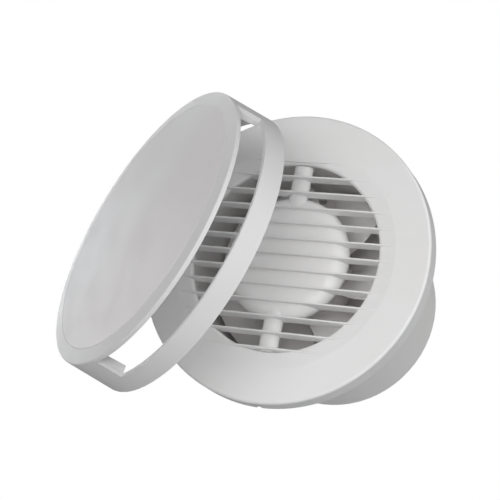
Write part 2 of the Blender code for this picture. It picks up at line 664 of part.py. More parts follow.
def shutter_flap(name, hand, material):
    """Make one half-round flap with its two hinge barrels."""
    start = math.acos(FLAP_PIN_OFFSET / FLAP_RADIUS)
    angles = np.linspace(-start, start, 25)
    outline = [(hand * FLAP_RADIUS * math.cos(a), FLAP_RADIUS * math.sin(a)) for a in angles]
    sheet = bmesh.new()
    add_prism(sheet, outline,
              Matrix.Translation((0.0, SHUTTER_AXIS, 0.0)) @ Matrix.Diagonal((1.0, FLAP_THICKNESS, 1.0, 1.0)))
    flap = add_object(name, sheet, material)
    pin = hand * FLAP_PIN_OFFSET
    barrels = bmesh.new()
    bores = bmesh.new()
    reliefs = bmesh.new()
    for height in (-EAR_REACH / 2, EAR_REACH / 2):
        add_upright(barrels, BARREL_RADIUS, pin, height - BARREL_LENGTH / 2, height + BARREL_LENGTH / 2)
    for height in (-EAR_REACH, 0.0, EAR_REACH):
        add_box(reliefs, (2 * BARREL_RADIUS + 2.4, 8.0, EAR_LENGTH + 2 * GAP + 1.0), (pin, SHUTTER_AXIS, height))
    add_upright(bores, FLAP_PIN_RADIUS + GAP, pin, -FLAP_RADIUS - 2.0, FLAP_RADIUS + 2.0)
    boolean(flap, add_object(f"{name}_barrels", barrels), "UNION")
    boolean(flap, add_object(f"{name}_reliefs", reliefs))
    return boolean(flap, add_object(f"{name}_bores", bores))


def flap_pin(name, hand, material):
    """Make the wire pin that a flap turns on."""
    bm = bmesh.new()
    add_upright(bm, FLAP_PIN_RADIUS, hand * FLAP_PIN_OFFSET, -SHUTTER_INNER + 1.9, SHUTTER_INNER - 1.0)
    return add_object(name, bm, material)


def terminal_block(material):
    """Make the two-way terminal block on the wall plate."""
    bm = bmesh.new()
    add_box(bm, (TERMINAL_WIDTH, TERMINAL_BACK - TERMINAL_FRONT, TERMINAL_LENGTH),
            (FIXING_CIRCLE, (TERMINAL_FRONT + TERMINAL_BACK) / 2, 0.0), TERMINAL_ANGLE)
    block = add_object("terminal_block", bm, material, 20.0)
    wells = bmesh.new()
    for x, z in terminal_places():
        add_cylinder(wells, TERMINAL_WELL, TERMINAL_FRONT - 1.0, terminal_floor(), x, z)
    return boolean(block, add_object("terminal_wells", wells))


def terminal_floor():
    """Return the depth of the wells' floors."""
    return (TERMINAL_FRONT + TERMINAL_BACK) / 2


def terminal_places():
    """Return x and z of the two terminal screws."""
    turn_by = Matrix.Rotation(math.radians(-TERMINAL_ANGLE), 4, "Y")
    half = TERMINAL_PITCH / 2
    return [(turn_by @ Vector((FIXING_CIRCLE, 0.0, side))).xz for side in (-half, half)]


def terminal_screw(index, place, material):
    """Make one slotless clamp screw that stands in a well of the terminal block."""
    top = TERMINAL_FRONT + 0.6
    bm = bmesh.new()
    add_cylinder(bm, TERMINAL_HEAD, top, terminal_floor() - FINE_GAP, *place)
    head = add_object(f"terminal_screw_{index}", bm, material)
    slot = bmesh.new()
    add_box(slot, (2 * TERMINAL_HEAD + 1.0, 1.6, 0.7), (place[0], top, place[1]))
    return boolean(head, add_object(f"terminal_slot_{index}", slot))


def cable_grommet(material):
    """Make the rubber sleeve that lines the supply cable's hole."""
    x, z = polar(FIXING_CIRCLE, GROMMET_ANGLE)
    neck = GROMMET_HOLE - FINE_GAP
    seat = PLATE_PLANE - GAP
    bm = turn(bmesh.new(), [(GROMMET_BORE, seat - 1.6), (GROMMET_FLANGE, seat - 1.4), (GROMMET_FLANGE, seat),
                            (neck, seat), (neck, -GAP), (GROMMET_BORE, -GAP)], SMALL_FACETS)
    bmesh.ops.translate(bm, vec=(x, 0.0, z), verts=bm.verts)
    return add_object("cable_grommet", bm, material)


def cap_profile(inset=0.0):
    """Return the cap's outer section from the flat front to the foot, closed against the face."""
    crown = CAP_FRONT - CAP_CROWN + inset
    shoulder = CAP_FRONT + CAP_EDGE_DEPTH
    side = CAP_FRONT_RADIUS + CAP_TAPER * CAP_EDGE_DEPTH / CAP_DEPTH - inset
    flat = CAP_FLAT_RADIUS - inset / 2
    edge = arc((flat, shoulder), (side - flat, shoulder - crown), 270.0, 360.0, 6)
    return [(0.0, crown), *edge, (CAP_BACK_RADIUS - inset, CAP_FOOT)]


def cap(material):
    """Make the cap: a flat round front, two long side windows and a ring that rests on the face."""
    inner = cap_profile(CAP_SKIN)
    shell = turned("cap", [*cap_profile(), *reversed(inner[1:]), inner[0]], material)
    windows = bmesh.new()
    half = math.radians(WINDOW_HALF_ANGLE)
    near = CAP_FLAT_RADIUS - 7.0
    reach = CAP_BACK_RADIUS + 8.0
    place = (Matrix.Translation((0.0, CAP_FRONT + (WINDOW_FRONT + WINDOW_BACK) / 2, 0.0))
             @ Matrix.Diagonal((1.0, WINDOW_BACK - WINDOW_FRONT, 1.0, 1.0)))
    for side in (0.0, math.pi):
        angles = np.linspace(side - half, side + half, WINDOW_FACETS + 1)
        outward = [(reach * math.cos(a), reach * math.sin(a)) for a in angles]
        inward = [(near * math.cos(a), near * math.sin(a)) for a in angles[::-1]]
        add_prism(windows, outward + inward, place)
    boolean(shell, add_object("cap_windows", windows))
    added = bmesh.new()
    end = WINDOW_HALF_ANGLE + math.degrees((GUSSET_THICKNESS / 2 + 0.1) / CAP_FRONT_RADIUS)
    for degrees in (end, 180.0 - end, 180.0 + end, -end):
        add_radial_plate(added, gusset_outline(), degrees, GUSSET_THICKNESS)
    for degrees in MAGNET_ANGLES:
        x, z = polar(MAGNET_CIRCLE, degrees)
        add_cylinder(added, MAGNET_RADIUS + MAGNET_BOSS_WALL, CAP_FOOT - MAGNET_DEPTH - 2.1, CAP_FOOT - 0.01, x, z)
    boolean(shell, add_object("cap_bosses", added), "UNION")
    sockets = bmesh.new()
    for degrees in MAGNET_ANGLES:
        x, z = polar(MAGNET_CIRCLE, degrees)
        add_cylinder(sockets, MAGNET_RADIUS + FINE_GAP, CAP_FOOT - MAGNET_DEPTH - 2 * FINE_GAP, CAP_FOOT + 1.0, x, z)
    return boolean(shell, add_object("cap_sockets", sockets))


def gusset_outline():
    """Return the wall that closes a window's end, deep at the front and shallow at the ring."""
    outer = CAP_FRONT_RADIUS - CAP_SKIN / 2
    near = CAP_FRONT + CAP_SKIN / 2
    far = CAP_FRONT + WINDOW_BACK + 2.0
    return (outer, near), (outer, far), (outer - GUSSET_SHALLOW, far), (outer - GUSSET_DEEP, near)


def add_radial_plate(bm, outline, degrees, thickness):
    """Add a flat plate that stands along a radius, from an outline of (radius, y) points."""
    place = (Matrix.Rotation(-math.radians(degrees), 4, "Y") @ Matrix.Rotation(-math.pi / 2, 4, "X")
             @ Matrix.Diagonal((1.0, thickness, 1.0, 1.0)))
    add_prism(bm, outline, place)


def disc(name, front, back, degrees, material):
    """Make a plain round disc on the magnets' circle."""
    bm = bmesh.new()
    add_cylinder(bm, MAGNET_RADIUS, front, back, *polar(MAGNET_CIRCLE, degrees))
    return add_object(name, bm, material)


def pivot(name, point):
    """Make an empty at a point given in millimetres."""
    empty = bpy.data.objects.new(name, None)
    empty.location = [value * MM for value in point]
    empty.empty_display_size = 0.02
    bpy.context.scene.collection.objects.link(empty)
    return empty


def hang(obj, parent):
    """Parent an object to an empty, leaving its shape where it was when the empty was unturned."""
    obj.parent = parent
    obj.location = Vector(obj.location) - Vector(parent.location)


def clear_scene():
    """Remove every object of the scene."""
    for obj in list(bpy.data.objects):
        bpy.data.objects.remove(obj, do_unlink=True)


def build_motor(steel, copper, bronze, grey):
    """Build the fixed pieces of the motor inside the pod."""
    motor_plate(grey)
    stator_stack(steel)
    for index, degrees in enumerate(POLE_ANGLES, 1):
        stator_coil(index, degrees, copper)
    bush("front_bush", POD_SHELF + BUSH_SEAT + FINE_GAP, BUSH_SEAT_BACK, bronze)
    bush("rear_bush", MOTOR_PLATE_FRONT - 1.6, MOTOR_PLATE_FRONT + MOTOR_PLATE_THICKNESS + 0.4 - FINE_GAP, bronze)
    seat = MOTOR_PLATE_FRONT + MOTOR_PLATE_THICKNESS + 0.2
    for index, degrees in enumerate(POST_ANGLES, 1):
        x, z = polar(POST_CIRCLE, degrees)
        screw(f"plate_screw_{index}", seat, seat - SCREW_LENGTH, x, z, steel)


def build_rotor(steel, white):
    """Build what the motor turns, on a pivot at the hub's front."""
    rotor = [shaft(steel), rotor_core(steel), impeller(white), hub_nut(steel)]
    tools = [modifier.object for obj in rotor for modifier in obj.modifiers]
    axis = pivot("impeller_axis", (0.0, HUB_FRONT, 0.0))
    for obj in rotor + tools:
        hang(obj, axis)


def build_shutter(grey, steel):
    """Build the shutter's frame, its pins and its two flaps, each flap on a pivot at its pin."""
    shutter_frame(grey)
    for name, hand in (("left", -1), ("right", 1)):
        flap_pin(f"flap_pin_{name}", hand, steel)
        flap = shutter_flap(f"shutter_flap_{name}", hand, grey)
        axis = pivot(f"flap_axis_{name}", (hand * FLAP_PIN_OFFSET, SHUTTER_AXIS, 0.0))
        for obj in (flap, *(modifier.object for modifier in flap.modifiers)):
            hang(obj, axis)


def build_cap(white, steel):
    """Build the cap and its magnets closed on the face, then swing them off it."""
    x, z = polar(CAP_BACK_RADIUS, CAP_HINGE_ANGLE)
    hinge = pivot("cap_hinge", (x, CAP_HINGE_DEPTH, z))
    shell = cap(white)
    back = CAP_FOOT - FINE_GAP
    magnets = [disc(f"cap_magnet_{index}", back - MAGNET_DEPTH, back, degrees, steel)
               for index, degrees in enumerate(MAGNET_ANGLES, 1)]
    for obj in [shell, *magnets, *(modifier.object for modifier in shell.modifiers)]:
        hang(obj, hinge)
    hinge.rotation_mode = "QUATERNION"
    hinge.rotation_quaternion = Quaternion(Vector(CAP_HINGE_AXIS).normalized(), math.radians(CAP_OPEN_DEGREES))


def main():
    """Build the fan piece by piece."""
    clear_scene()
    white = make_material("white_abs", (0.82, 0.82, 0.82), 0.38)
    grey = make_material("grey_plate", (0.35, 0.35, 0.36), 0.5)
    steel = make_material("zinc_steel", (0.62, 0.62, 0.62), 0.3, 1.0)
    copper = make_material("copper_coil", (0.55, 0.2, 0.07), 0.35, 1.0)
    bronze = make_material("sintered_bronze", (0.45, 0.28, 0.14), 0.45, 1.0)
    rubber = make_material("black_rubber", (0.02, 0.02, 0.02), 0.7)

    front_grille(white)
    duct_housing(white)
    motor_carrier(white)
    build_motor(steel, copper, bronze, grey)
    build_rotor(steel, white)
    build_shutter(grey, steel)
    terminal_block(grey)
    for index, place in enumerate(terminal_places(), 1):
        terminal_screw(index, place, bronze)
    cable_grommet(rubber)
    keeper_front = FACE_PLANE + KEEPER_COVER + FINE_GAP
    for index, degrees in enumerate(MAGNET_ANGLES, 1):
        disc(f"keeper_disc_{index}", keeper_front, keeper_front + KEEPER_DEPTH, degrees, steel)
    build_cap(white, steel)


main()
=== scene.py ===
"""Looks of a round bathroom exhaust fan whose front cap stands off its face.

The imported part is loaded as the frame. The forms that show most are built again as fine surfaces
in its place, and every piece gets a procedural finish. Sizes are in millimetres and become metres
when a mesh is made. The fan's axis is Y, its face looks towards -Y, and Z is up.
"""

import logging
import math
import sys
from dataclasses import dataclass
from enum import Enum

import bpy
import numpy as np
from mathutils import Matrix, Vector

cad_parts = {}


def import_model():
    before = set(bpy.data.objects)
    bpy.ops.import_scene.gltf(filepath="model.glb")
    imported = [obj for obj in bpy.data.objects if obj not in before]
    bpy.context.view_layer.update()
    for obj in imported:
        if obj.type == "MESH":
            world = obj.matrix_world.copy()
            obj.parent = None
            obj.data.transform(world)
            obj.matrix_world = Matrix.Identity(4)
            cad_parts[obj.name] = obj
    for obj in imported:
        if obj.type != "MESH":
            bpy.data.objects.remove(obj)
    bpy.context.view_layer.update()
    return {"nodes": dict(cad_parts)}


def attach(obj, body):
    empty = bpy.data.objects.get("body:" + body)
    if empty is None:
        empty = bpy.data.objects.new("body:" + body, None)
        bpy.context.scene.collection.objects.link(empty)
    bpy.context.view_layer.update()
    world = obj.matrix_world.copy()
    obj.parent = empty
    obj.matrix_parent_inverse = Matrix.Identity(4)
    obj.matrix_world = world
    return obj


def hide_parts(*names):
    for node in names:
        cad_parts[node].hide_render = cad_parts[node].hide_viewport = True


MM = 0.001
FAR = 1e3  # behind every piece
TINY = 0.01  # too small to show
AROUND = 192  # faces round a turned surface
MERGE_DIGITS = 4  # decimals within which points are one
MERGE_GAP = 0.002
SMOOTH_DEGREES = 38.0
SPLIT_DEGREES = 32.0
BEVEL_DEGREES = 40.0
LOG = logging.getLogger("fan")
Pair = tuple[float, float]
Triple = tuple[float, float, float]
Numbers = tuple[float, ...]
Outline = tuple[Pair, ...]
Names = tuple[str, ...]


# Surfaces


@dataclass
class Surface:
    """A surface: points in millimetres and four-cornered faces."""

    points: np.ndarray
    faces: np.ndarray

    def placed(self, matrix: Matrix) -> "Surface":
        """Return the surface moved by a 4 x 4 matrix in millimetres."""
        place = np.array(matrix)
        return Surface(self.points @ place[:3, :3].T + place[:3, 3], self.faces)

    def outward(self) -> np.ndarray:
        """Return the faces, turned over if the volume they enclose comes out negative."""
        a, b, c, d = (self.points[self.faces[:, i]] for i in range(4))
        volume = (np.cross(a, b) * c).sum() + (np.cross(a, c) * d).sum()
        return self.faces if volume > 0 else self.faces[:, ::-1]

    def mesh(self, name: str) -> bpy.types.Mesh:
        """Make a mesh in metres. Equal points are merged, and a face folded to a line is dropped.

        Args:
            name: the mesh's name.

        Returns:
            The mesh, shaded smooth except at its sharp edges.
        """
        keys = np.round(self.points, MERGE_DIGITS)
        _, first, index = np.unique(keys, axis=0, return_index=True, return_inverse=True)
        faces = index.reshape(-1)[self.outward()]
        same = faces == np.roll(faces, -1, axis=1)
        quads = faces[same.sum(1) == 0]
        folded = same.sum(1) == 1
        corners = faces[folded][~same[folded]].reshape(-1, 3)
        made = bpy.data.meshes.new(name)
        points = (self.points[first] * MM).tolist()
        made.from_pydata(points, [], quads.tolist() + corners.tolist())
        made.validate()
        made.shade_smooth()
        made.set_sharp_from_angle(angle=math.radians(SMOOTH_DEGREES))
        return made


def joined(parts: list[Surface]) -> Surface:
    """Put surfaces beside each other in one surface.

    Args:
        parts: the surfaces.

    Returns:
        One surface that holds them all.
    """
    starts = np.cumsum([0] + [len(part.points) for part in parts[:-1]])
    faces = [part.outward() + start for part, start in zip(parts, starts)]
    return Surface(np.concatenate([part.points for part in parts]), np.concatenate(faces))


def grid_faces(rows: int, columns: int, closed_rows: bool, closed_columns: bool) -> np.ndarray:
    """Join a grid of points into four-cornered faces.

    Args:
        rows: points along the first parameter.
        columns: points along the second parameter.
        closed_rows: whether the last row joins the first.
        closed_columns: whether the last column joins the first.

    Returns:
        The faces as an array of point numbers, four a row.
    """
    i = np.arange(rows if closed_rows else rows - 1)[:, None]
    j = np.arange(columns if closed_columns else columns - 1)[None, :]
    up, over = (i + 1) % rows, (j + 1) % columns
    corners = [i * columns + j, i * columns + over, up * columns + over, up * columns + j]
    return np.stack(np.broadcast_arrays(*corners), axis=-1).reshape(-1, 4)


def filleted(corners: np.ndarray, radii: Numbers, steps: int = 6) -> np.ndarray:
    """Round each corner of a closed outline.

    With the unit vectors a and b from a corner P to its neighbours and h half the angle between
    them, the arc of radius r touches the sides r / tan(h) from P, and its centre is
    P + (a + b) / |a + b| * r / sin(h).

    Args:
        corners: the outline's corners, two numbers a row.
        radii: the radius at each corner.
        steps: faces along each arc.

    Returns:
        The rounded outline, with steps + 1 points for each corner.
    """
    towards = [np.roll(corners, 1, axis=0) - corners, np.roll(corners, -1, axis=0) - corners]
    a, b = (side / np.linalg.norm(side, axis=1, keepdims=True) for side in towards)
    half = np.arccos(np.clip((a * b).sum(1), -1.0, 1.0)) / 2
    half = np.clip(half, 1e-3, math.pi / 2 - 1e-4)[:, None]
    middle = (a + b) / np.maximum(np.linalg.norm(a + b, axis=1, keepdims=True), 1e-9)
    radius = np.array(radii)[:, None]
    centre = corners + middle * radius / np.sin(half)
    start = (corners + a * radius / np.tan(half) - centre)[:, None]
    end = (corners + b * radius / np.tan(half) - centre)[:, None]
    sweep = (math.pi - 2 * half)[:, :, None]
    share = np.linspace(0.0, 1.0, steps + 1)[None, :, None]
    arc = np.sin((1 - share) * sweep) * start + np.sin(share * sweep) * end
    return (centre[:, None] + arc / np.sin(sweep)).reshape(-1, 2)


def turned(profile: np.ndarray, segments: int = AROUND) -> np.ndarray:
    """Turn a profile about Y: P(t, s) = (r(s) cos t, y(s), r(s) sin t).

    Args:
        profile: radius and y of the profile's points.
        segments: steps round the axis.

    Returns:
        The points, one profile after the other.
    """
    turn = np.linspace(0.0, math.tau, segments, endpoint=False)[:, None]
    radius, depth = profile[None, :, 0], profile[None, :, 1]
    parts = np.broadcast_arrays(radius * np.cos(turn), depth, radius * np.sin(turn))
    return np.stack(parts, axis=-1).reshape(-1, 3)


def revolved(profile: np.ndarray, segments: int = AROUND) -> Surface:
    """Make the surface of revolution of a closed profile, given in radius and y."""
    faces = grid_faces(segments, len(profile), True, True)
    return Surface(turned(profile, segments), faces)


def lofted(sections: np.ndarray) -> Surface:
    """Skin a row of closed sections and close both ends onto their middles.

    Args:
        sections: the sections' points, as (section, point, coordinate).

    Returns:
        The closed surface.
    """
    middles = sections[[0, -1]].mean(axis=1, keepdims=True)
    ends = middles.repeat(sections.shape[1], axis=1)
    rows = np.concatenate([ends[:1], sections, ends[1:]])
    return Surface(rows.reshape(-1, 3), grid_faces(len(rows), rows.shape[1], False, True))


def plates(corners: np.ndarray | Outline, thickness: float, *places: float) -> list[Surface]:
    """Make flat plates that each stand along a radius of the fan.

    Args:
        corners: radius and y of a plate's corners.
        thickness: a plate's thickness, across the radius.
        places: each plate's angle from +X towards +Z, in degrees.

    Returns:
        The closed plates.
    """
    across = np.array([-0.5, 0.5])[:, None] * thickness
    radius, depth = np.array(corners).T
    points = np.stack(np.broadcast_arrays(radius, depth, across), axis=-1)
    turns = (Matrix.Rotation(math.radians(-place), 4, "Y") for place in places)
    return [lofted(points).placed(turn) for turn in turns]


def on_circle(surface: Surface, radius: float, places: Numbers) -> list[Surface]:
    """Copy a surface to places on a circle round the fan's axis.

    Args:
        surface: the surface.
        radius: the circle's radius.
        places: angles from +X towards +Z, in degrees.

    Returns:
        The copies.
    """
    angles = (math.radians(place) for place in places)
    moves = ((radius * math.cos(angle), 0.0, radius * math.sin(angle)) for angle in angles)
    return [surface.placed(Matrix.Translation(move)) for move in moves]


def even_shading(made: bpy.types.Object) -> None:
    """Shade an object by its larger faces, and keep its sharp edges."""
    made.modifiers.new("even shading", "WEIGHTED_NORMAL").keep_sharp = True


def linked(name: str, data: bpy.types.ID) -> bpy.types.Object:
    """Make an object and put it into the scene.

    Args:
        name: the object's name.
        data: its mesh, camera or light.

    Returns:
        The object.
    """
    made = bpy.data.objects.new(name, data)
    bpy.context.scene.collection.objects.link(made)
    return made


# Shader graph


@dataclass(frozen=True)
class Socket:
    """A value of a shader graph, whose arithmetic adds Math nodes."""

    graph: "Graph"
    output: bpy.types.NodeSocket

    def _math(self, operation: str, *values: "Socket | float") -> "Socket":
        """Add a Math node and return its value."""
        node = self.graph.node("ShaderNodeMath", {"operation": operation}, dict(enumerate(values)))
        return Socket(self.graph, node.outputs[0])

    def __add__(self, other: "Socket | float") -> "Socket":
        """Return self + other."""
        return self._math("ADD", self, other)

    __radd__ = __add__

    def __mul__(self, other: "Socket | float") -> "Socket":
        """Return self * other."""
        return self._math("MULTIPLY", self, other)

    __rmul__ = __mul__

    def __pow__(self, other: "Socket | float") -> "Socket":
        """Return self to the power of other."""
        return self._math("POWER", self, other)

    def wave(self, length: float) -> "Socket":
        """Return a sine wave from 0 to 1 over this distance, of a length in millimetres."""
        turns = self * (math.tau / (length * MM))
        return (self._math("SINE", turns) + 1.0) * 0.5

    def between(self, low: float, high: float) -> "Socket":
        """Return how far the value is from one limit to the other.

        Args:
            low: the value at which the share is 0.
            high: the value at which it is 1.

        Returns:
            The share, which runs smoothly.
        """
        settings = {"interpolation_type": "SMOOTHSTEP"}
        values = {"Value": self, "From Min": low, "From Max": high}
        node = self.graph.node("ShaderNodeMapRange", settings, values)
        return Socket(self.graph, node.outputs["Result"])


class Graph:
    """The node tree of one material."""

    def __init__(self, name: str) -> None:
        """Make a material with a Principled shader."""
        self.material = bpy.data.materials.new(name)
        self.material.use_nodes = True
        self.tree = self.material.node_tree
        self.shader = self.tree.nodes["Principled BSDF"]
        self.place = Socket(self, self.node("ShaderNodeTexCoord").outputs["Object"])

    def node(
        self, kind: str, settings: dict | None = None, values: dict | None = None
    ) -> bpy.types.Node:
        """Add a node.

        Args:
            kind: the node's type.
            settings: attributes to set on it.
            values: what goes into its inputs, a Socket as a link and anything else as a value.

        Returns:
            The node.
        """
        made = self.tree.nodes.new(kind)
        for key, value in (settings or {}).items():
            setattr(made, key, value)
        for key, value in (values or {}).items():
            self.put(made.inputs[key], value)
        return made

    def put(self, target: bpy.types.NodeSocket, value: "Socket | float | Triple") -> None:
        """Link or set one input.

        Args:
            target: the input.
            value: what goes into it.
        """
        if isinstance(value, Socket):
            self.tree.links.new(value.output, target)
        elif isinstance(value, tuple) and len(value) == 3 and target.type == "RGBA":
            target.default_value = (*value, 1.0)
        else:
            target.default_value = value

    def finished(
        self, colour: Socket, roughness: Socket, normal: Socket, **others: float
    ) -> bpy.types.Material:
        """Link or set the shader's inputs.

        Args:
            colour: the base colour.
            roughness: the roughness.
            normal: the normal.
            others: the values of other inputs, by their names.

        Returns:
            The material.
        """
        inputs = {"Base Color": colour, "Roughness": roughness, "Normal": normal, **others}
        for name, value in inputs.items():
            self.put(self.shader.inputs[name], value)
        return self.material

    def noise(self, size: float, detail: float, stretch: Triple = (1.0, 1.0, 1.0)) -> Socket:
        """Return 3D noise about 0.5.

        Args:
            size: the width of its blotches, in millimetres.
            detail: how many finer layers it has.
            stretch: how much longer the blotches are along each axis.

        Returns:
            The noise value.
        """
        scale = tuple(1.0 / (size * MM * factor) for factor in stretch)
        mapping = self.node("ShaderNodeMapping", {}, {"Vector": self.place, "Scale": scale})
        place = Socket(self, mapping.outputs[0])
        values = {"Vector": place, "Scale": 1.0, "Detail": detail}
        return Socket(self, self.node("ShaderNodeTexNoise", {}, values).outputs[0])

    def along(self, direction: Triple) -> Socket:
        """Return how far along a direction a point lies.

        Args:
            direction: the direction, of length 1.

        Returns:
            The distance from the origin, in metres.
        """
        values = {0: self.place, 1: direction}
        node = self.node("ShaderNodeVectorMath", {"operation": "DOT_PRODUCT"}, values)
        return Socket(self, node.outputs["Value"])

    def mixed(self, share: Socket, low: "Socket | Triple", high: "Socket | Triple") -> Socket:
        """Return a blend of two colours: low at a share of 0, high at 1."""
        node = self.node("ShaderNodeMix", {"data_type": "RGBA"}, {0: share, 6: low, 7: high})
        return Socket(self, node.outputs[2])

    def bump(self, height: Socket, depth: float) -> Socket:
        """Return a normal bent by a height, which is a share of a depth in millimetres."""
        values = {"Height": height, "Distance": depth * MM, "Strength": 1.0}
        return Socket(self, self.node("ShaderNodeBump", {}, values).outputs[0])


@dataclass(frozen=True)
class Plastic:
    """Moulded plastic: a fine eroded grain, faint flow clouds, and a gloss that varies.

    A noise's size is its blotches', in millimetres. Given a direction of painted shading, the
    colour goes over to the shade along it, between two distances in metres: painted shade, standing
    in for light that falls off across the surface.
    """

    name: str
    colour: Triple
    shade: Triple
    roughness: float = 0.42
    grain: float = 0.7
    grain_depth: float = 0.02
    grain_height: float = 0.8
    grain_dulls: float = 0.05
    clouds: float = 45.0
    cloud_limits: Pair = (0.32, 0.68)
    flow: Triple = (1.6, 1.0, 0.8)
    specks: float = 2.6
    speck_limits: Pair = (0.62, 0.8)
    speck_share: float = 0.35
    speck_tone: float = 0.93
    wear: float = 18.0
    wear_limits: Pair = (0.4, 0.75)
    wear_dulls: float = 0.07
    sinks: float = 28.0
    sink_height: float = 2.0
    refraction: float = 1.53
    painted_shading: Triple | None = None
    painted_shading_span: Pair = (0.0, 1.0)
    painted_shading_share: float = 0.8

    def material(self) -> bpy.types.Material:
        """Make the material."""
        graph = Graph(self.name)
        clouds = graph.noise(self.clouds, 2.0, self.flow).between(*self.cloud_limits)
        # Painted shade: the colour darkens along a direction, standing in for light that falls off
        # across the surface.
        if self.painted_shading is not None:
            painted_shading = graph.along(self.painted_shading).between(*self.painted_shading_span)
            clouds = painted_shading * self.painted_shading_share + clouds * (1.0 - self.painted_shading_share)
        specks = graph.noise(self.specks, 4.0).between(*self.speck_limits)
        wear = graph.noise(self.wear, 4.0).between(*self.wear_limits)
        grain = graph.noise(self.grain, 2.0)
        sink = graph.noise(self.sinks, 1.0)
        base = graph.mixed(clouds, self.colour, self.shade)
        dark = tuple(channel * self.speck_tone for channel in self.shade)
        return graph.finished(
            graph.mixed(specks * self.speck_share, base, dark),
            self.roughness + wear * self.wear_dulls + grain * self.grain_dulls,
            graph.bump(grain * self.grain_height + sink * self.sink_height, self.grain_depth),
            IOR=self.refraction,
        )


@dataclass(frozen=True)
class Metal:
    """Metal with fine drawn lines and dull patches, whose sizes are in millimetres."""

    name: str
    colour: Triple
    tarnish: Triple
    roughness: float = 0.3
    grain: float = 0.4
    drawn: Triple = (1.0, 14.0, 1.0)
    line_depth: float = 0.02
    line_dulls: float = 0.1
    patches: float = 6.0
    patch_limits: Pair = (0.4, 0.7)
    patch_dulls: float = 0.15

    def material(self) -> bpy.types.Material:
        """Make the material."""
        graph = Graph(self.name)
        patches = graph.noise(self.patches, 4.0).between(*self.patch_limits)
        lines = graph.noise(self.grain, 3.0, self.drawn)
        return graph.finished(
            graph.mixed(patches, self.colour, self.tarnish),
            self.roughness + patches * self.patch_dulls + lines * self.line_dulls,
            graph.bump(lines, self.line_depth),
            Metallic=1.0,
        )


@dataclass(frozen=True)
class Winding:
    """Enamelled copper wire laid in layers, drawn as fine ridges."""

    name: str
    colour: Triple
    enamel: Triple
    roughness: float = 0.28
    wire: float = 0.45
    layer: float = 1.35
    layer_height: float = 0.3
    ridge_depth: float = 0.15
    patches: float = 4.0
    patch_limits: Pair = (0.35, 0.7)
    patch_dulls: float = 0.12
    metallic: float = 0.75

    def material(self) -> bpy.types.Material:
        """Make the material.

        The ridges are (sin(2 pi r / wire) + 1) / 2 over the distance r from the fan's axis, and
        the layers the same over y and the length of a layer.
        """
        graph = Graph(self.name)
        split = graph.node("ShaderNodeSeparateXYZ", {}, {0: graph.place})
        x, y, z = (Socket(graph, split.outputs[i]) for i in range(3))
        ridges = ((x * x + z * z) ** 0.5).wave(self.wire)
        layers = y.wave(self.layer)
        patches = graph.noise(self.patches, 3.0).between(*self.patch_limits)
        return graph.finished(
            graph.mixed(patches * ridges, self.enamel, self.colour),
            self.roughness + patches * self.patch_dulls,
            graph.bump(ridges + layers * self.layer_height, self.ridge_depth),
            Metallic=self.metallic,
        )


@dataclass(frozen=True)
class Rubber:
    """Matt rubber with bloom and dust in its pores."""

    name: str
    colour: Triple
    dust: Triple
    roughness: float = 0.68
    bloom: float = 3.0
    bloom_limits: Pair = (0.45, 0.8)
    bloom_share: float = 0.6
    bloom_dulls: float = 0.2
    pores: float = 0.5
    pore_depth: float = 0.06

    def material(self) -> bpy.types.Material:
        """Make the material."""
        graph = Graph(self.name)
        bloom = graph.noise(self.bloom, 5.0).between(*self.bloom_limits)
        pores = graph.noise(self.pores, 3.0)
        return graph.finished(
            graph.mixed(bloom * self.bloom_share, self.colour, self.dust),
            self.roughness + bloom * self.bloom_dulls,
            graph.bump(pores, self.pore_depth),
        )


class Finish(Enum):
    """The finishes by what they are on."""

    FACE = Plastic("face_abs", (0.85, 0.85, 0.85), (0.84, 0.835, 0.83))
    POD = Plastic("pod_abs", (0.875, 0.875, 0.87), (0.865, 0.86, 0.855), 0.38)
    CAP = Plastic("cap_abs", (0.72, 0.72, 0.72), (0.71, 0.705, 0.705), 0.45)
    # The flat front's colour darkens and turns pinker towards the right and down: painted shade.
    PANEL = Plastic(
        "cap_panel", (0.735, 0.735, 0.74), (0.688, 0.657, 0.662), 0.4,
        painted_shading=(0.7995, 0.4759, -0.3545), painted_shading_span=(-0.110, -0.088),
    )
    HOUSING = Plastic("housing_abs", (0.90, 0.895, 0.89), (0.89, 0.88, 0.87), 0.45)
    IMPELLER = Plastic("impeller_abs", (0.94, 0.92, 0.91), (0.92, 0.90, 0.89), 0.32)
    SHUTTER = Plastic("shutter_abs", (0.90, 0.875, 0.865), (0.88, 0.855, 0.845), 0.45)
    TERMINALS = Plastic("terminal_grey", (0.42, 0.42, 0.43), (0.38, 0.38, 0.39), 0.5)
    STEEL = Metal("zinc_plate", (0.62, 0.62, 0.60), (0.48, 0.48, 0.47))
    BRONZE = Metal("oiled_bronze", (0.47, 0.30, 0.15), (0.33, 0.21, 0.11), 0.45)
    COPPER = Winding("enamelled_copper", (0.72, 0.33, 0.14), (0.42, 0.13, 0.05))
    RUBBER = Rubber("grommet_rubber", (0.02, 0.02, 0.02), (0.09, 0.085, 0.08))


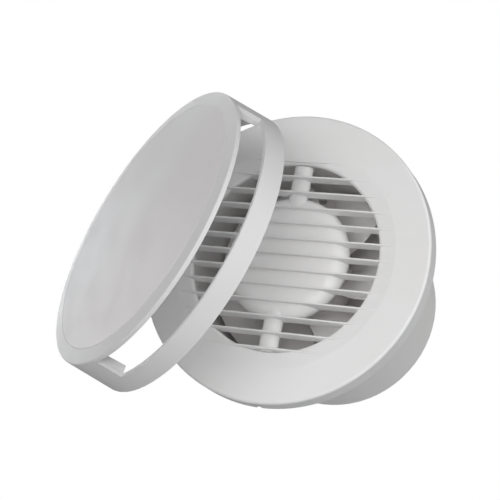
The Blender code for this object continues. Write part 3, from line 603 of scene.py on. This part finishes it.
class Workshop:
    """Makes pieces, dresses them and seats them on their bodies."""

    def __init__(self, nodes: dict[str, bpy.types.Object]) -> None:
        """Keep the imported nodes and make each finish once."""
        self.nodes = nodes
        self.materials = {finish: finish.value.material() for finish in Finish}

    def piece(
        self, name: str, surface: Surface, finish: Finish, body: str, stands_for: Names = (),
        round_edges: float = 0.0, skin: float = 0.0, slot: str = "white_abs",
    ) -> bpy.types.Object:
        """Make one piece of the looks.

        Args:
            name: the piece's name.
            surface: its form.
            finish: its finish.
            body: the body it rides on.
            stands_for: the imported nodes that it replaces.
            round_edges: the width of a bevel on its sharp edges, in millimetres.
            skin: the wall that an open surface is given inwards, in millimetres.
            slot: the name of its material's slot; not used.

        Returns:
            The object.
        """
        mesh = surface.mesh(name)
        mesh.materials.append(self.materials[finish])
        made = linked(name, mesh)
        if skin:
            wall = made.modifiers.new("wall", "SOLIDIFY")
            wall.thickness, wall.offset, wall.use_even_offset = skin * MM, -1.0, True
        if round_edges:
            bevel = made.modifiers.new("edges", "BEVEL")
            bevel.width, bevel.segments, bevel.limit_method = round_edges * MM, 2, "ANGLE"
            bevel.angle_limit = math.radians(BEVEL_DEGREES)
            bevel.harden_normals = True
        even_shading(made)
        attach(made, body)
        if stands_for:
            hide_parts(*stands_for)
        LOG.info("%s: %d points on %s", name, len(mesh.vertices), body)
        return made

    def dress(self, finish: Finish, *names: str) -> None:
        """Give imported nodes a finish, merge their loose faces and shade them evenly.

        Args:
            finish: the finish.
            names: the nodes.
        """
        for name in names:
            node = self.nodes[name]
            node.data.materials.clear()
            node.data.materials.append(self.materials[finish])
            node.data.shade_smooth()
            split_angle = math.radians(SPLIT_DEGREES)
            node.modifiers.new("merge", "WELD").merge_threshold = MERGE_GAP * MM
            node.modifiers.new("sharp edges", "EDGE_SPLIT").split_angle = split_angle
            even_shading(node)
            LOG.info("%s: %s", name, finish.value.name)


# Sub-assemblies


@dataclass
class Pod:
    """The motor pod's form: a flat front with a long soft edge and a tapering body."""

    front: float = -10.6
    front_rows: Numbers = (0.0, 12.0, 24.0)
    flat: float = 33.0
    radius: float = 45.0
    round_depth: float = 7.2
    round_points: int = 25
    shoulder: float = 43.6
    shoulder_depth: float = 0.6
    back: float = 25.5
    back_radius: float = 30.6
    wall: float = 2.2
    strut_half: float = 7.0
    strut_room: float = 0.3
    strut_tail: float = 2.5
    strut_front: float = -10.3
    strut_nose: float = 4.0
    strut_length: float = 14.3
    strut_tip: float = 67.3
    strut_root: float = 37.0
    strut_rows: int = 24
    band_inner: float = 68.8
    band_outer: float = 70.9
    band_front: float = -2.7
    band_back: float = 14.0
    band_rounds: Numbers = (0.7, 0.3, 0.3, 0.7)
    foot: Outline = ((61.6, -2.3), (69.4, -2.3), (69.4, 3.3), (61.6, 3.3))
    foot_width: float = 4.4
    feet: Pair = (90.0, 270.0)
    edge: float = 0.3
    strut_edge: float = 0.4

    def surface_depth(self, radius: np.ndarray) -> np.ndarray:
        """Return the depth y of the pod's front at a radius: flat, then a quarter of an ellipse.

        Args:
            radius: distances from the fan's axis.

        Returns:
            The depths, far behind outside the pod.
        """
        out = np.clip((radius - self.flat) / (self.radius - self.flat), 0.0, 1.0)
        depth = self.front + self.round_depth * (1.0 - np.sqrt(1.0 - out * out))
        return np.where(radius < self.radius, depth, FAR)

    def strut_depth(self, x: np.ndarray, z: np.ndarray) -> np.ndarray:
        """Return the depth y of the struts' round noses, each half an ellipse.

        Args:
            x: places across the strut.
            z: heights from the fan's axis.

        Returns:
            The depths, far behind beside the struts.
        """
        half = self.strut_half + self.strut_room
        out = np.clip(np.abs(x) / half, 0.0, 1.0)
        depth = self.strut_front + self.strut_nose * (1.0 - np.sqrt(1.0 - out * out))
        return np.where((np.abs(x) < half) & (np.abs(z) > self.strut_root), depth, FAR)

    def body(self) -> Surface:
        """Turn the pod's shell: its outer section and, one wall inside it, its well."""
        turn = np.radians(np.linspace(270.0, 360.0, self.round_points))
        widest = self.front + self.round_depth
        radius = self.flat + (self.radius - self.flat) * np.cos(turn)
        nose = np.stack([radius, widest + self.round_depth * np.sin(turn)], axis=-1)
        flats = np.array([[row, self.front] for row in self.front_rows])
        body = np.array([
            (self.shoulder, self.shoulder_depth), (self.back_radius, self.back),
            (self.back_radius - self.wall, self.back),
            (self.shoulder - self.wall, self.shoulder_depth), (self.radius - self.wall, widest),
            (self.flat, self.front + self.wall), (0.0, self.front + self.wall),
        ])
        return revolved(np.concatenate([flats, nose, body]))

    def strut(self, side: float) -> Surface:
        """Loft one strut from the pod to the band: half an ellipse in front, and a narrow tail.

        Args:
            side: 1 for the upper strut, -1 for the lower one.

        Returns:
            The closed strut.
        """
        height = np.linspace(self.strut_root, self.strut_tip, self.strut_rows)[:, None]
        turn = np.radians(np.linspace(180.0, 360.0, self.round_points))
        x = np.append(self.strut_half * np.cos(turn), [self.strut_tail, -self.strut_tail])
        nose = self.strut_front + self.strut_nose * (1.0 + np.sin(turn))
        y = np.append(nose, [self.strut_front + self.strut_length] * 2)
        return lofted(np.stack(np.broadcast_arrays(x, y, side * height), axis=-1))

    def band(self) -> Surface:
        """Turn the band inside the duct, with the two feet that join the struts to it."""
        corners = np.array([
            (self.band_inner, self.band_front), (self.band_outer, self.band_front),
            (self.band_outer, self.band_back), (self.band_inner, self.band_back),
        ])
        band = revolved(filleted(corners, self.band_rounds, steps=4))
        return joined([band, *plates(self.foot, self.foot_width, *self.feet)])

    def build(self, shop: Workshop) -> None:
        """Make the carrier's pieces."""
        struts = joined([self.strut(1.0), self.strut(-1.0)])
        pod = self.body()
        shop.piece("motor_pod", pod, Finish.POD, "fan_body", ("motor_carrier",), self.edge)
        shop.piece("pod_struts", struts, Finish.POD, "fan_body", (), self.strut_edge)
        shop.piece("carrier_band", self.band(), Finish.HOUSING, "fan_body")


@dataclass
class Face:
    """The fan's face: a flange whose shallow dish leads into the throat, and thirteen slats."""

    pod: Pod
    radius: float = 104.0
    front: float = -13.5
    skin: float = 2.2
    rim_round: float = 2.0
    dish: float = 80.0
    dish_depth: float = 1.1
    dish_round: float = 12.0
    dish_back_round: float = 6.0
    throat: float = 67.6
    throat_round: float = 2.6
    throat_back: float = 68.5
    throat_end: float = -3.0
    lip_back: float = 0.33
    lip_inset: float = 0.3
    lip_wall: float = 1.9
    lip_back_round: float = 0.6
    edge_round: float = 0.3
    inner_round: float = 0.8
    ring_segments: int = 256
    slats: int = 13
    pitch: float = 11.23
    rise: float = 2.2
    thickness: float = 1.2
    taper: float = 0.7
    depth: float = 6.4
    short_depth: float = 1.7
    least_depth: float = 0.5
    sunk: float = 0.1
    drop: float = 1.8
    bite: float = 0.8
    gap: float = 0.3
    slat_rounds: Numbers = (0.38, 0.38, 0.3, 0.3)
    slat_rows: int = 241
    hooks: Numbers = (60.0, 120.0, 240.0, 300.0)
    hook_width: float = 8.0
    hook: Outline = (
        (96.8, -12.4), (96.8, -0.3), (98.6, -0.3), (100.0, -0.6), (100.0, -1.3), (98.6, -1.3),
        (98.6, -12.4),
    )
    keepers: Numbers = (30.0, 150.0, 210.0, 330.0)
    keeper_circle: float = 95.0
    keeper_sides: int = 32
    keeper_cup: Outline = (
        (4.25, -11.7), (4.25, -9.55), (5.6, -9.55), (5.6, -12.3), (0.0, -12.3), (0.0, -11.7),
    )
    pry_slot: Outline = ((98.0, -4.5), (108.0, -4.5), (108.0, 4.5), (98.0, 4.5))
    pry_slot_width: float = 4.0
    pry_slot_place: float = 270.0
    fixing_edge: float = 0.2

    def ring(self) -> Surface:
        """Turn the flange's section. Each row is a corner's radius, y and rounding."""
        back, inside = self.front + self.skin, self.radius - self.skin
        lip_y = self.front + self.dish_depth + self.lip_back
        edge = self.edge_round
        rows = np.array([
            (self.throat_back, self.throat_end, edge),
            (self.throat - self.lip_inset, lip_y, self.throat_round),
            (self.dish, self.front, self.dish_round),
            (self.radius, self.front, self.rim_round),
            (self.radius, 0.0, edge),
            (inside, 0.0, edge),
            (inside, back, self.inner_round),
            (self.dish, back, self.dish_back_round),
            (self.throat + self.lip_wall, lip_y + self.skin, self.lip_back_round),
            (self.throat_back + self.skin, self.throat_end, edge),
        ])
        section = filleted(rows[:, :2], tuple(rows[:, 2]), steps=8)
        return revolved(section, self.ring_segments)

    def mouth_radius(self, y: np.ndarray) -> np.ndarray:
        """Return the mouth's radius R(y), in straight runs between the section's corners.

        Args:
            y: depths.

        Returns:
            The radius of the dish or throat at each.
        """
        lip = self.front + self.dish_depth
        depths = [self.front, lip, lip + self.throat_round, self.throat_end]
        radii = [self.dish, self.throat + self.throat_round, self.throat, self.throat_back]
        return np.interp(y, depths, radii)

    def reach(self, y: np.ndarray, z: np.ndarray) -> np.ndarray:
        """Return X(y, z) = sqrt((R(y) + bite)^2 - z^2), half a slat's length in the mouth."""
        return np.sqrt(np.maximum((self.mouth_radius(y) + self.bite) ** 2 - z**2, 1.0))

    def slat(self, row: int) -> Surface:
        """Loft one slat across the mouth.

        A point's place is (u X(y, z), y, z), where u runs from end to end and X is the reach. The
        section's depth gives way to the pod and struts.

        Args:
            row: the slat's number from the bottom.

        Returns:
            The closed slat.
        """
        height = self.rise + (row - (self.slats - 1) / 2) * self.pitch
        half = self.thickness / 2
        start = self.front + self.sunk
        deepest = self.depth if abs(height) + half < self.throat else self.short_depth
        share = np.linspace(-1.0, 1.0, self.slat_rows)[:, None]
        back = half * self.taper
        corners = np.array([[0.0, half], [0.0, -half], [1.0, -back], [1.0, back]])
        scale = np.array([deepest, 1.0])
        section = filleted(corners * scale, self.slat_rounds, steps=4) / scale
        along, aside = section[None, :, 0], section[None, :, 1]
        x = share * self.reach(start + deepest, height)
        pod = self.pod.surface_depth(np.hypot(x, height))
        behind = np.minimum(pod, self.pod.strut_depth(x, height))
        depth = np.clip(behind - self.gap - start, self.least_depth, deepest)
        y = start + along * depth
        z = height + aside - self.drop * along * depth / self.depth
        return lofted(np.stack([share * self.reach(y, z), y, z], axis=-1))

    def fixings(self) -> Surface:
        """Make the four snap hooks and the four bosses that hold the steel discs."""
        hooks = plates(self.hook, self.hook_width, *self.hooks)
        cup = revolved(np.array(self.keeper_cup), self.keeper_sides)
        return joined([*hooks, *on_circle(cup, self.keeper_circle, self.keepers)])

    def notch(self) -> bpy.types.Object:
        """Make the box that cuts the pry slot into the rim's bottom."""
        box = plates(self.pry_slot, self.pry_slot_width, self.pry_slot_place)[0]
        cutter = linked("pry_slot_cutter", box.mesh("pry_slot_cutter"))
        cutter.hide_render = cutter.hide_viewport = True
        return cutter

    def build(self, shop: Workshop) -> None:
        """Make the face's pieces."""
        flange = shop.piece("face_flange", self.ring(), Finish.FACE, "fan_body", ("front_grille",))
        cut = flange.modifiers.new("pry slot", "BOOLEAN")
        cut.object, cut.solver = self.notch(), "EXACT"
        flange.modifiers.move(len(flange.modifiers) - 1, 0)
        slats = joined([self.slat(row) for row in range(self.slats)])
        shop.piece("face_slats", slats, Finish.FACE, "fan_body")
        fixings = self.fixings()
        shop.piece("face_fixings", fixings, Finish.FACE, "fan_body", (), self.fixing_edge)


@dataclass
class Rotor:
    """The impeller: a cup-shaped hub with seven twisted blades.

    lead and trail give how far the blades' front and back edges lie inside the hub's ends, at the
    hub and, on top of that, at the tip.
    """

    hub: float = 29.5
    wall: float = 2.0
    front: float = 28.0
    back: float = 54.0
    boss: float = 6.5
    boss_back: float = 46.0
    bore: float = 2.8
    cup_rounds: Numbers = (0.3, 4.0, 0.6, 0.6, 2.0, 1.0, 0.5, 0.3)
    tip: float = 68.2
    blades: int = 7
    blade_rows: int = 40
    blade_points: int = 33
    root_share: float = 0.7
    thickness: float = 1.6
    edge_share: float = 0.25
    fullness: float = 0.35
    span: float = 43.0
    sweep: float = 16.0
    sweep_power: float = 1.6
    camber: float = 2.2
    lead: Pair = (2.0, 1.5)
    trail: Pair = (1.5, 3.5)
    ribs: Numbers = (20.0, 110.0, 200.0, 290.0)
    rib: Outline = ((5.7, 29.6), (28.5, 29.6), (28.5, 37.6), (5.7, 37.6))
    rib_width: float = 1.6

    def cup(self) -> Surface:
        """Turn the hub with its boss."""
        floor = self.front + self.wall
        corners = np.array([
            (self.bore, self.front), (self.hub, self.front), (self.hub, self.back),
            (self.hub - self.wall, self.back), (self.hub - self.wall, floor), (self.boss, floor),
            (self.boss, self.boss_back), (self.bore, self.boss_back),
        ])
        return revolved(filleted(corners, self.cup_rounds, steps=7))

    def blade(self, number: int) -> Surface:
        """Loft one blade as a thin aerofoil.

        At the share o of the way out and s of the way back, the mid surface lies at the angle
        sweep o^sweep_power + span (s - 1/2), at the depth from front to back less
        camber sin(pi s). The sides lie half of the thickness off it along its normal, times
        edge_share + (1 - edge_share) (4 s (1 - s))^fullness.

        Args:
            number: the blade's number.

        Returns:
            The closed blade.
        """
        root = self.hub - self.wall * self.root_share
        radius = np.linspace(root, self.tip, self.blade_rows)[:, None]
        share = ((1 - np.cos(np.linspace(0.0, math.pi, self.blade_points))) / 2)[None, :]
        out = np.clip((radius - self.hub) / (self.tip - self.hub), 0.0, 1.0)
        turn = self.sweep * out**self.sweep_power
        angle = np.radians(number * 360.0 / self.blades + turn + self.span * (share - 0.5))
        start = self.front + self.lead[0] + self.lead[1] * out
        stop = self.back - self.trail[0] - self.trail[1] * out
        depth = start + (stop - start) * share - self.camber * np.sin(math.pi * share)
        middle = np.stack([radius * np.cos(angle), depth, radius * np.sin(angle)], axis=-1)
        normal = np.cross(np.gradient(middle, axis=0), np.gradient(middle, axis=1))
        normal /= np.linalg.norm(normal, axis=-1, keepdims=True)
        full = (4 * share * (1 - share)) ** self.fullness
        half = self.thickness / 2 * (self.edge_share + (1 - self.edge_share) * full)
        offset = normal * half[..., None]
        return lofted(np.concatenate([middle + offset, (middle - offset)[:, ::-1]], axis=1))

    def build(self, shop: Workshop) -> None:
        """Make the impeller's pieces."""
        hub = joined([self.cup(), *plates(self.rib, self.rib_width, *self.ribs)])
        shop.piece("impeller_hub", hub, Finish.IMPELLER, "rotor", ("impeller",))
        blades = joined([self.blade(number) for number in range(self.blades)])
        shop.piece("impeller_blades", blades, Finish.IMPELLER, "rotor")


@dataclass
class Cap:
    """The cap that stands off the face: a flat round front, two side windows and a ring.

    Window depths count from the front, over which the flat stands by its crown. The rows are where
    the skin has points. The walls at the windows' ends are shallow above and deep below, each
    given by its reach inwards beside the front and beside the ring.
    """

    foot: float = -13.8
    front: float = -50.2
    crown: float = 1.0
    flat: float = 90.4
    panel_rows: Numbers = (0.0, 30.0, 60.0, 80.0, 88.5, 89.5)
    front_radius: float = 100.2
    back_radius: float = 102.0
    bevel_depth: float = 1.5
    bevel_rows: Pair = (0.03, 0.5)
    corner_round: float = 1.1
    seam: float = 0.36
    seam_step: float = 0.2
    seam_part: float = 0.25
    edge_depth: float = 4.1
    skin: float = 2.8
    lip: float = 2.2
    lip_depth: float = 3.0
    lip_overlap: float = 0.5
    lip_runs: Pair = (5.4, 5.2)
    lip_rounds: Numbers = (0.4, 0.1, 0.1, 0.3, 0.5)
    window_front: float = 3.35
    window_rows: Numbers = (4.6, 8.0, 13.0, 18.0, 21.3)
    window_back: float = 22.0
    window_half: float = 65.3
    ring_rows: Numbers = (23.0, 29.0, 35.4, 36.4)
    deep_end: Pair = (5.6, 5.6)
    shallow_end: Pair = (5.6, 3.0)
    end_shift: float = 0.57
    end_width: float = 2.0
    end_chamfer: float = 3.0
    magnets: Numbers = (30.0, 150.0, 210.0, 330.0)
    magnet_circle: float = 95.0
    magnet_radius: float = 4.25
    magnet_depth: float = 3.0
    boss_radius: float = 5.6
    boss_depth: float = 4.6
    boss_sunk: float = 0.05
    boss_sides: int = 40
    edge: float = 0.35
    wall_edge: float = 0.25
    hinge: Triple = (-99.735, 1.3, 21.381)
    hinge_axis: Triple = (-0.133, 0.413, -0.901)
    swing: float = 42.9

    def pose(self) -> Matrix:
        """Return the move from the closed place to the place in the photograph."""
        there = Matrix.Translation(self.hinge)
        turn = Matrix.Rotation(math.radians(self.swing), 4, Vector(self.hinge_axis))
        return there @ turn @ there.inverted()

    def section(self) -> np.ndarray:
        """Return the outer skin's section, in radius and y, from the middle out and back.

        It runs flat to a fine seam, down a shallow bevel to a small round corner, and down the
        tapering side to the foot.
        """
        level = self.front - self.crown
        slope = (self.back_radius - self.front_radius) * self.edge_depth
        side = self.front_radius + slope / (self.foot - self.front)
        shoulder = np.array([side, level + self.edge_depth])
        corner = np.array([self.front_radius, level + self.bevel_depth])
        start = np.array([self.flat, level + self.seam * self.seam_step])
        rounds = (TINY, self.corner_round, TINY)
        turn = filleted(np.array([start, corner, shoulder]), rounds).reshape(3, -1, 2)[1]
        seam = [[self.flat - 2 * self.seam, level], [self.flat - self.seam, level + self.seam]]
        bevel = start + (turn[0] - start) * np.array(self.bevel_rows)[:, None]
        panel = [[radius, level] for radius in self.panel_rows]
        rows = (self.window_front, *self.window_rows, self.window_back, *self.ring_rows)
        lower = self.front + np.array(rows)
        down = (lower - shoulder[1]) / (self.foot - shoulder[1])
        flank = np.stack([side + (self.back_radius - side) * down, lower], axis=-1)
        middle = (turn[-1] + shoulder) / 2
        return np.concatenate([panel, seam, [start], bevel, turn, [middle, shoulder], flank])

    def shell(self) -> Surface:
        """Turn the cap's outer skin, open at the windows and the foot."""
        section = self.section()
        depths = section[:, 1]
        faces = grid_faces(AROUND, len(section), True, False)
        column = faces[:, 0] % len(section)
        around = (faces[:, 0] // len(section) + 0.5) * 360.0 / AROUND
        from_side = np.abs((around + 90.0) % 180.0 - 90.0)
        first, last = self.front + self.window_front, self.front + self.window_back
        in_window = (depths[column] > first - TINY) & (depths[column] < last - TINY)
        kept = faces[~(in_window & (from_side < self.window_half))]
        return Surface(turned(section), kept)

    def inside(self) -> Surface:
        """Make the lip in the foot, the walls at the windows' ends and the magnet bosses."""
        inner = self.back_radius - self.skin
        under = inner + self.lip_overlap
        lip = np.array([
            (inner - self.lip, self.foot), (under, self.foot),
            (under, self.foot - self.lip_runs[0]), (inner, self.foot - self.lip_runs[1]),
            (inner - self.lip, self.foot - self.lip_depth),
        ])
        ring = revolved(filleted(lip, self.lip_rounds, steps=3))
        end = self.window_half + self.end_shift
        upper = plates(self.end_wall(*self.shallow_end), self.end_width, end, 180.0 - end)
        lower = plates(self.end_wall(*self.deep_end), self.end_width, 180.0 + end, -end)
        back = self.foot - self.boss_sunk
        cup = np.array([
            (0.0, back - self.boss_depth), (self.boss_radius, back - self.boss_depth),
            (self.boss_radius, back), (self.magnet_radius, back),
            (self.magnet_radius, back - self.magnet_depth), (0.0, back - self.magnet_depth),
        ])
        boss = revolved(cup, self.boss_sides)
        bosses = on_circle(boss, self.magnet_circle, self.magnets)
        return joined([ring, *upper, *lower, *bosses])

    def end_wall(self, fore: float, aft: float) -> np.ndarray:
        """Return the outline, in radius and y, of a wall at a window's end.

        Args:
            fore: how far it reaches inwards beside the flat front, in millimetres.
            aft: how far it reaches inwards beside the ring.

        Returns:
            The outline's corners.
        """
        outer = self.front_radius - self.skin / 2
        near, far = self.front + self.skin / 2, self.front + self.window_back
        cut = self.end_chamfer
        return np.array([
            (outer, near + cut), (outer, far), (outer - aft, far), (outer - fore, near),
            (outer - cut, near),
        ])

    def panel(self, shop: Workshop, drum: bpy.types.Object, place: Matrix) -> None:
        """Give the flat front its own matt finish, with painted shade, up to the seam.

        Args:
            shop: the workshop with the finishes.
            drum: the cap's shell.
            place: the move that took the cap to its place.
        """
        mesh = drum.data
        mesh.materials.append(shop.materials[Finish.PANEL])
        centres = np.empty(3 * len(mesh.polygons))
        mesh.polygons.foreach_get("center", centres)
        back = np.array(place.inverted())
        closed = centres.reshape(-1, 3) / MM @ back[:3, :3].T + back[:3, 3]
        flat = closed[:, 1] < self.front - self.crown + self.seam * self.seam_part
        mesh.polygons.foreach_set("material_index", flat.astype(np.int32))
        mesh.update()

    def build(self, shop: Workshop) -> None:
        """Make the cap's pieces where the photograph shows them."""
        place = self.pose()
        shell, inside = (part.placed(place) for part in (self.shell(), self.inside()))
        sizes = self.edge, self.skin
        drum = shop.piece("cap_shell", shell, Finish.CAP, "cap_body", ("cap",), *sizes)
        self.panel(shop, drum, place)
        shop.piece("cap_inner_walls", inside, Finish.CAP, "cap_body", (), self.wall_edge)


def numbered(kind: str, count: int) -> Names:
    """Return the names kind_1 up to kind_count."""
    return tuple(f"{kind}_{number}" for number in range(1, count + 1))


@dataclass
class KeptNodes:
    """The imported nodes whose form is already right, by the finish that each gets."""

    finishes: tuple[tuple[Finish, Names], ...] = (
        (Finish.HOUSING, ("duct_housing",)),
        (Finish.SHUTTER, ("shutter_frame", "shutter_flap_left", "shutter_flap_right")),
        (Finish.TERMINALS, ("motor_plate", "terminal_block")),
        (Finish.STEEL, ("stator_stack", "shaft", "rotor_core", "hub_nut")),
        (Finish.STEEL, ("flap_pin_left", "flap_pin_right", *numbered("plate_screw", 3))),
        (Finish.STEEL, (*numbered("keeper_disc", 4), *numbered("cap_magnet", 4))),
        (Finish.BRONZE, ("front_bush", "rear_bush", *numbered("terminal_screw", 2))),
        (Finish.COPPER, numbered("stator_coil", 4)),
        (Finish.RUBBER, ("cable_grommet",)),
    )

    def build(self, shop: Workshop) -> None:
        """Dress the kept nodes."""
        for finish, names in self.finishes:
            shop.dress(finish, *names)


# Studio


@dataclass(frozen=True)
class Lamp:
    """A round soft box that looks at the fan: its place and width in metres, its power in watts."""

    name: str
    place: Triple
    power: float
    colour: Triple
    width: float = 1.2

    def hang(self) -> None:
        """Hang the lamp."""
        data = bpy.data.lights.new(self.name, "AREA")
        data.shape, data.size, data.energy = "DISK", self.width, self.power
        data.color = self.colour
        made = linked(self.name, data)
        made.location = self.place
        made.rotation_euler = (-Vector(self.place)).to_track_quat("-Z", "Y").to_euler()
        made.visible_camera = False


@dataclass
class Studio:
    """The photograph's camera, a white backdrop, soft light and a pale floor well below."""

    eye: Triple = (386.96, -907.518, -269.006)
    right: Triple = (0.91164, 0.36008, 0.19814)
    down: Triple = (0.07793, 0.3219, -0.94356)
    forward: Triple = (-0.40354, 0.87563, 0.26539)
    lens: float = 106.417
    sensor: float = 36.0
    sight: Pair = (0.05, 30.0)
    floor_level: float = -700.0
    floor_half: float = 3000.0
    floor_paint: Plastic = Plastic("floor_paint", (0.62, 0.62, 0.62), (0.60, 0.60, 0.60), 0.7, 2.0)
    sky: float = 0.08
    sky_colour: Triple = (0.97, 0.98, 1.0)
    backdrop_colour: Triple = (1.0, 1.0, 1.0)
    lamps: tuple[Lamp, ...] = (
        Lamp("front", (0.3, -2.0, 0.0), 11.8, (1.0, 1.0, 1.0)),
        Lamp("front_low", (0.3, -1.7, -0.5), 9.8, (1.0, 0.99, 0.98)),
        Lamp("front_high", (1.1, -1.3, 1.2), 8.0, (1.0, 1.0, 1.0)),
        Lamp("right", (2.0, -0.2, 0.2), 12.2, (0.99, 1.0, 1.0)),
        Lamp("left_rim", (-1.85, 0.85, 0.3), 10.0, (0.97, 0.985, 1.0)),
        Lamp("back_rim", (-1.45, 1.4, 0.6), 6.0, (0.98, 0.99, 1.0)),
        Lamp("high_rim", (-1.25, 0.6, 1.4), 8.5, (0.98, 0.99, 1.0)),
    )

    def camera(self) -> None:
        """Stand the camera where the photograph was taken from."""
        data = bpy.data.cameras.new("photograph")
        data.lens, data.sensor_width = self.lens, self.sensor
        data.clip_start, data.clip_end = self.sight
        made = linked("photograph", data)
        up, back = ([-value for value in axis] for axis in (self.down, self.forward))
        turn = Matrix((self.right, up, back)).transposed()
        made.matrix_world = Matrix.Translation(Vector(self.eye) * MM) @ turn.to_4x4()
        bpy.context.scene.camera = made

    def backdrop(self) -> None:
        """Light the scene evenly from all round, and show white behind the object."""
        world = bpy.data.worlds.new("studio")
        world.use_nodes = True
        tree = world.node_tree
        light = tree.nodes["Background"]
        light.inputs["Color"].default_value = (*self.sky_colour, 1.0)
        light.inputs["Strength"].default_value = self.sky
        seen = tree.nodes.new("ShaderNodeBackground")
        seen.inputs["Color"].default_value = (*self.backdrop_colour, 1.0)
        path = tree.nodes.new("ShaderNodeLightPath")
        mix = tree.nodes.new("ShaderNodeMixShader")
        tree.links.new(path.outputs["Is Camera Ray"], mix.inputs[0])
        tree.links.new(light.outputs[0], mix.inputs[1])
        tree.links.new(seen.outputs[0], mix.inputs[2])
        tree.links.new(mix.outputs[0], tree.nodes["World Output"].inputs["Surface"])
        bpy.context.scene.world = world
        bpy.context.scene.view_settings.view_transform = "Standard"

    def floor(self) -> None:
        """Lay a pale floor below the fan."""
        half = self.floor_half
        corners = np.array([[-half, -half], [half, -half], [half, half], [-half, half]])
        points = np.concatenate([corners, np.full((4, 1), self.floor_level)], axis=1)
        mesh = bpy.data.meshes.new("floor")
        mesh.from_pydata((points * MM).tolist(), [], [[0, 1, 2, 3]])
        mesh.materials.append(self.floor_paint.material())
        made = linked("floor", mesh)

    def build(self) -> None:
        """Set up the studio."""
        self.camera()
        self.backdrop()
        self.floor()
        for lamp in self.lamps:
            lamp.hang()


def main() -> None:
    """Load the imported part, build each sub-assembly over it and set up the studio."""
    logging.basicConfig(level=logging.INFO, format="%(message)s", stream=sys.stdout)
    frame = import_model()
    shop = Workshop(frame["nodes"])
    pod = Pod()
    for assembly in (pod, Face(pod), Rotor(), Cap(), KeptNodes()):
        assembly.build(shop)
    Studio().build()
    bpy.context.view_layer.update()


if __name__ == "__main__":
    main()
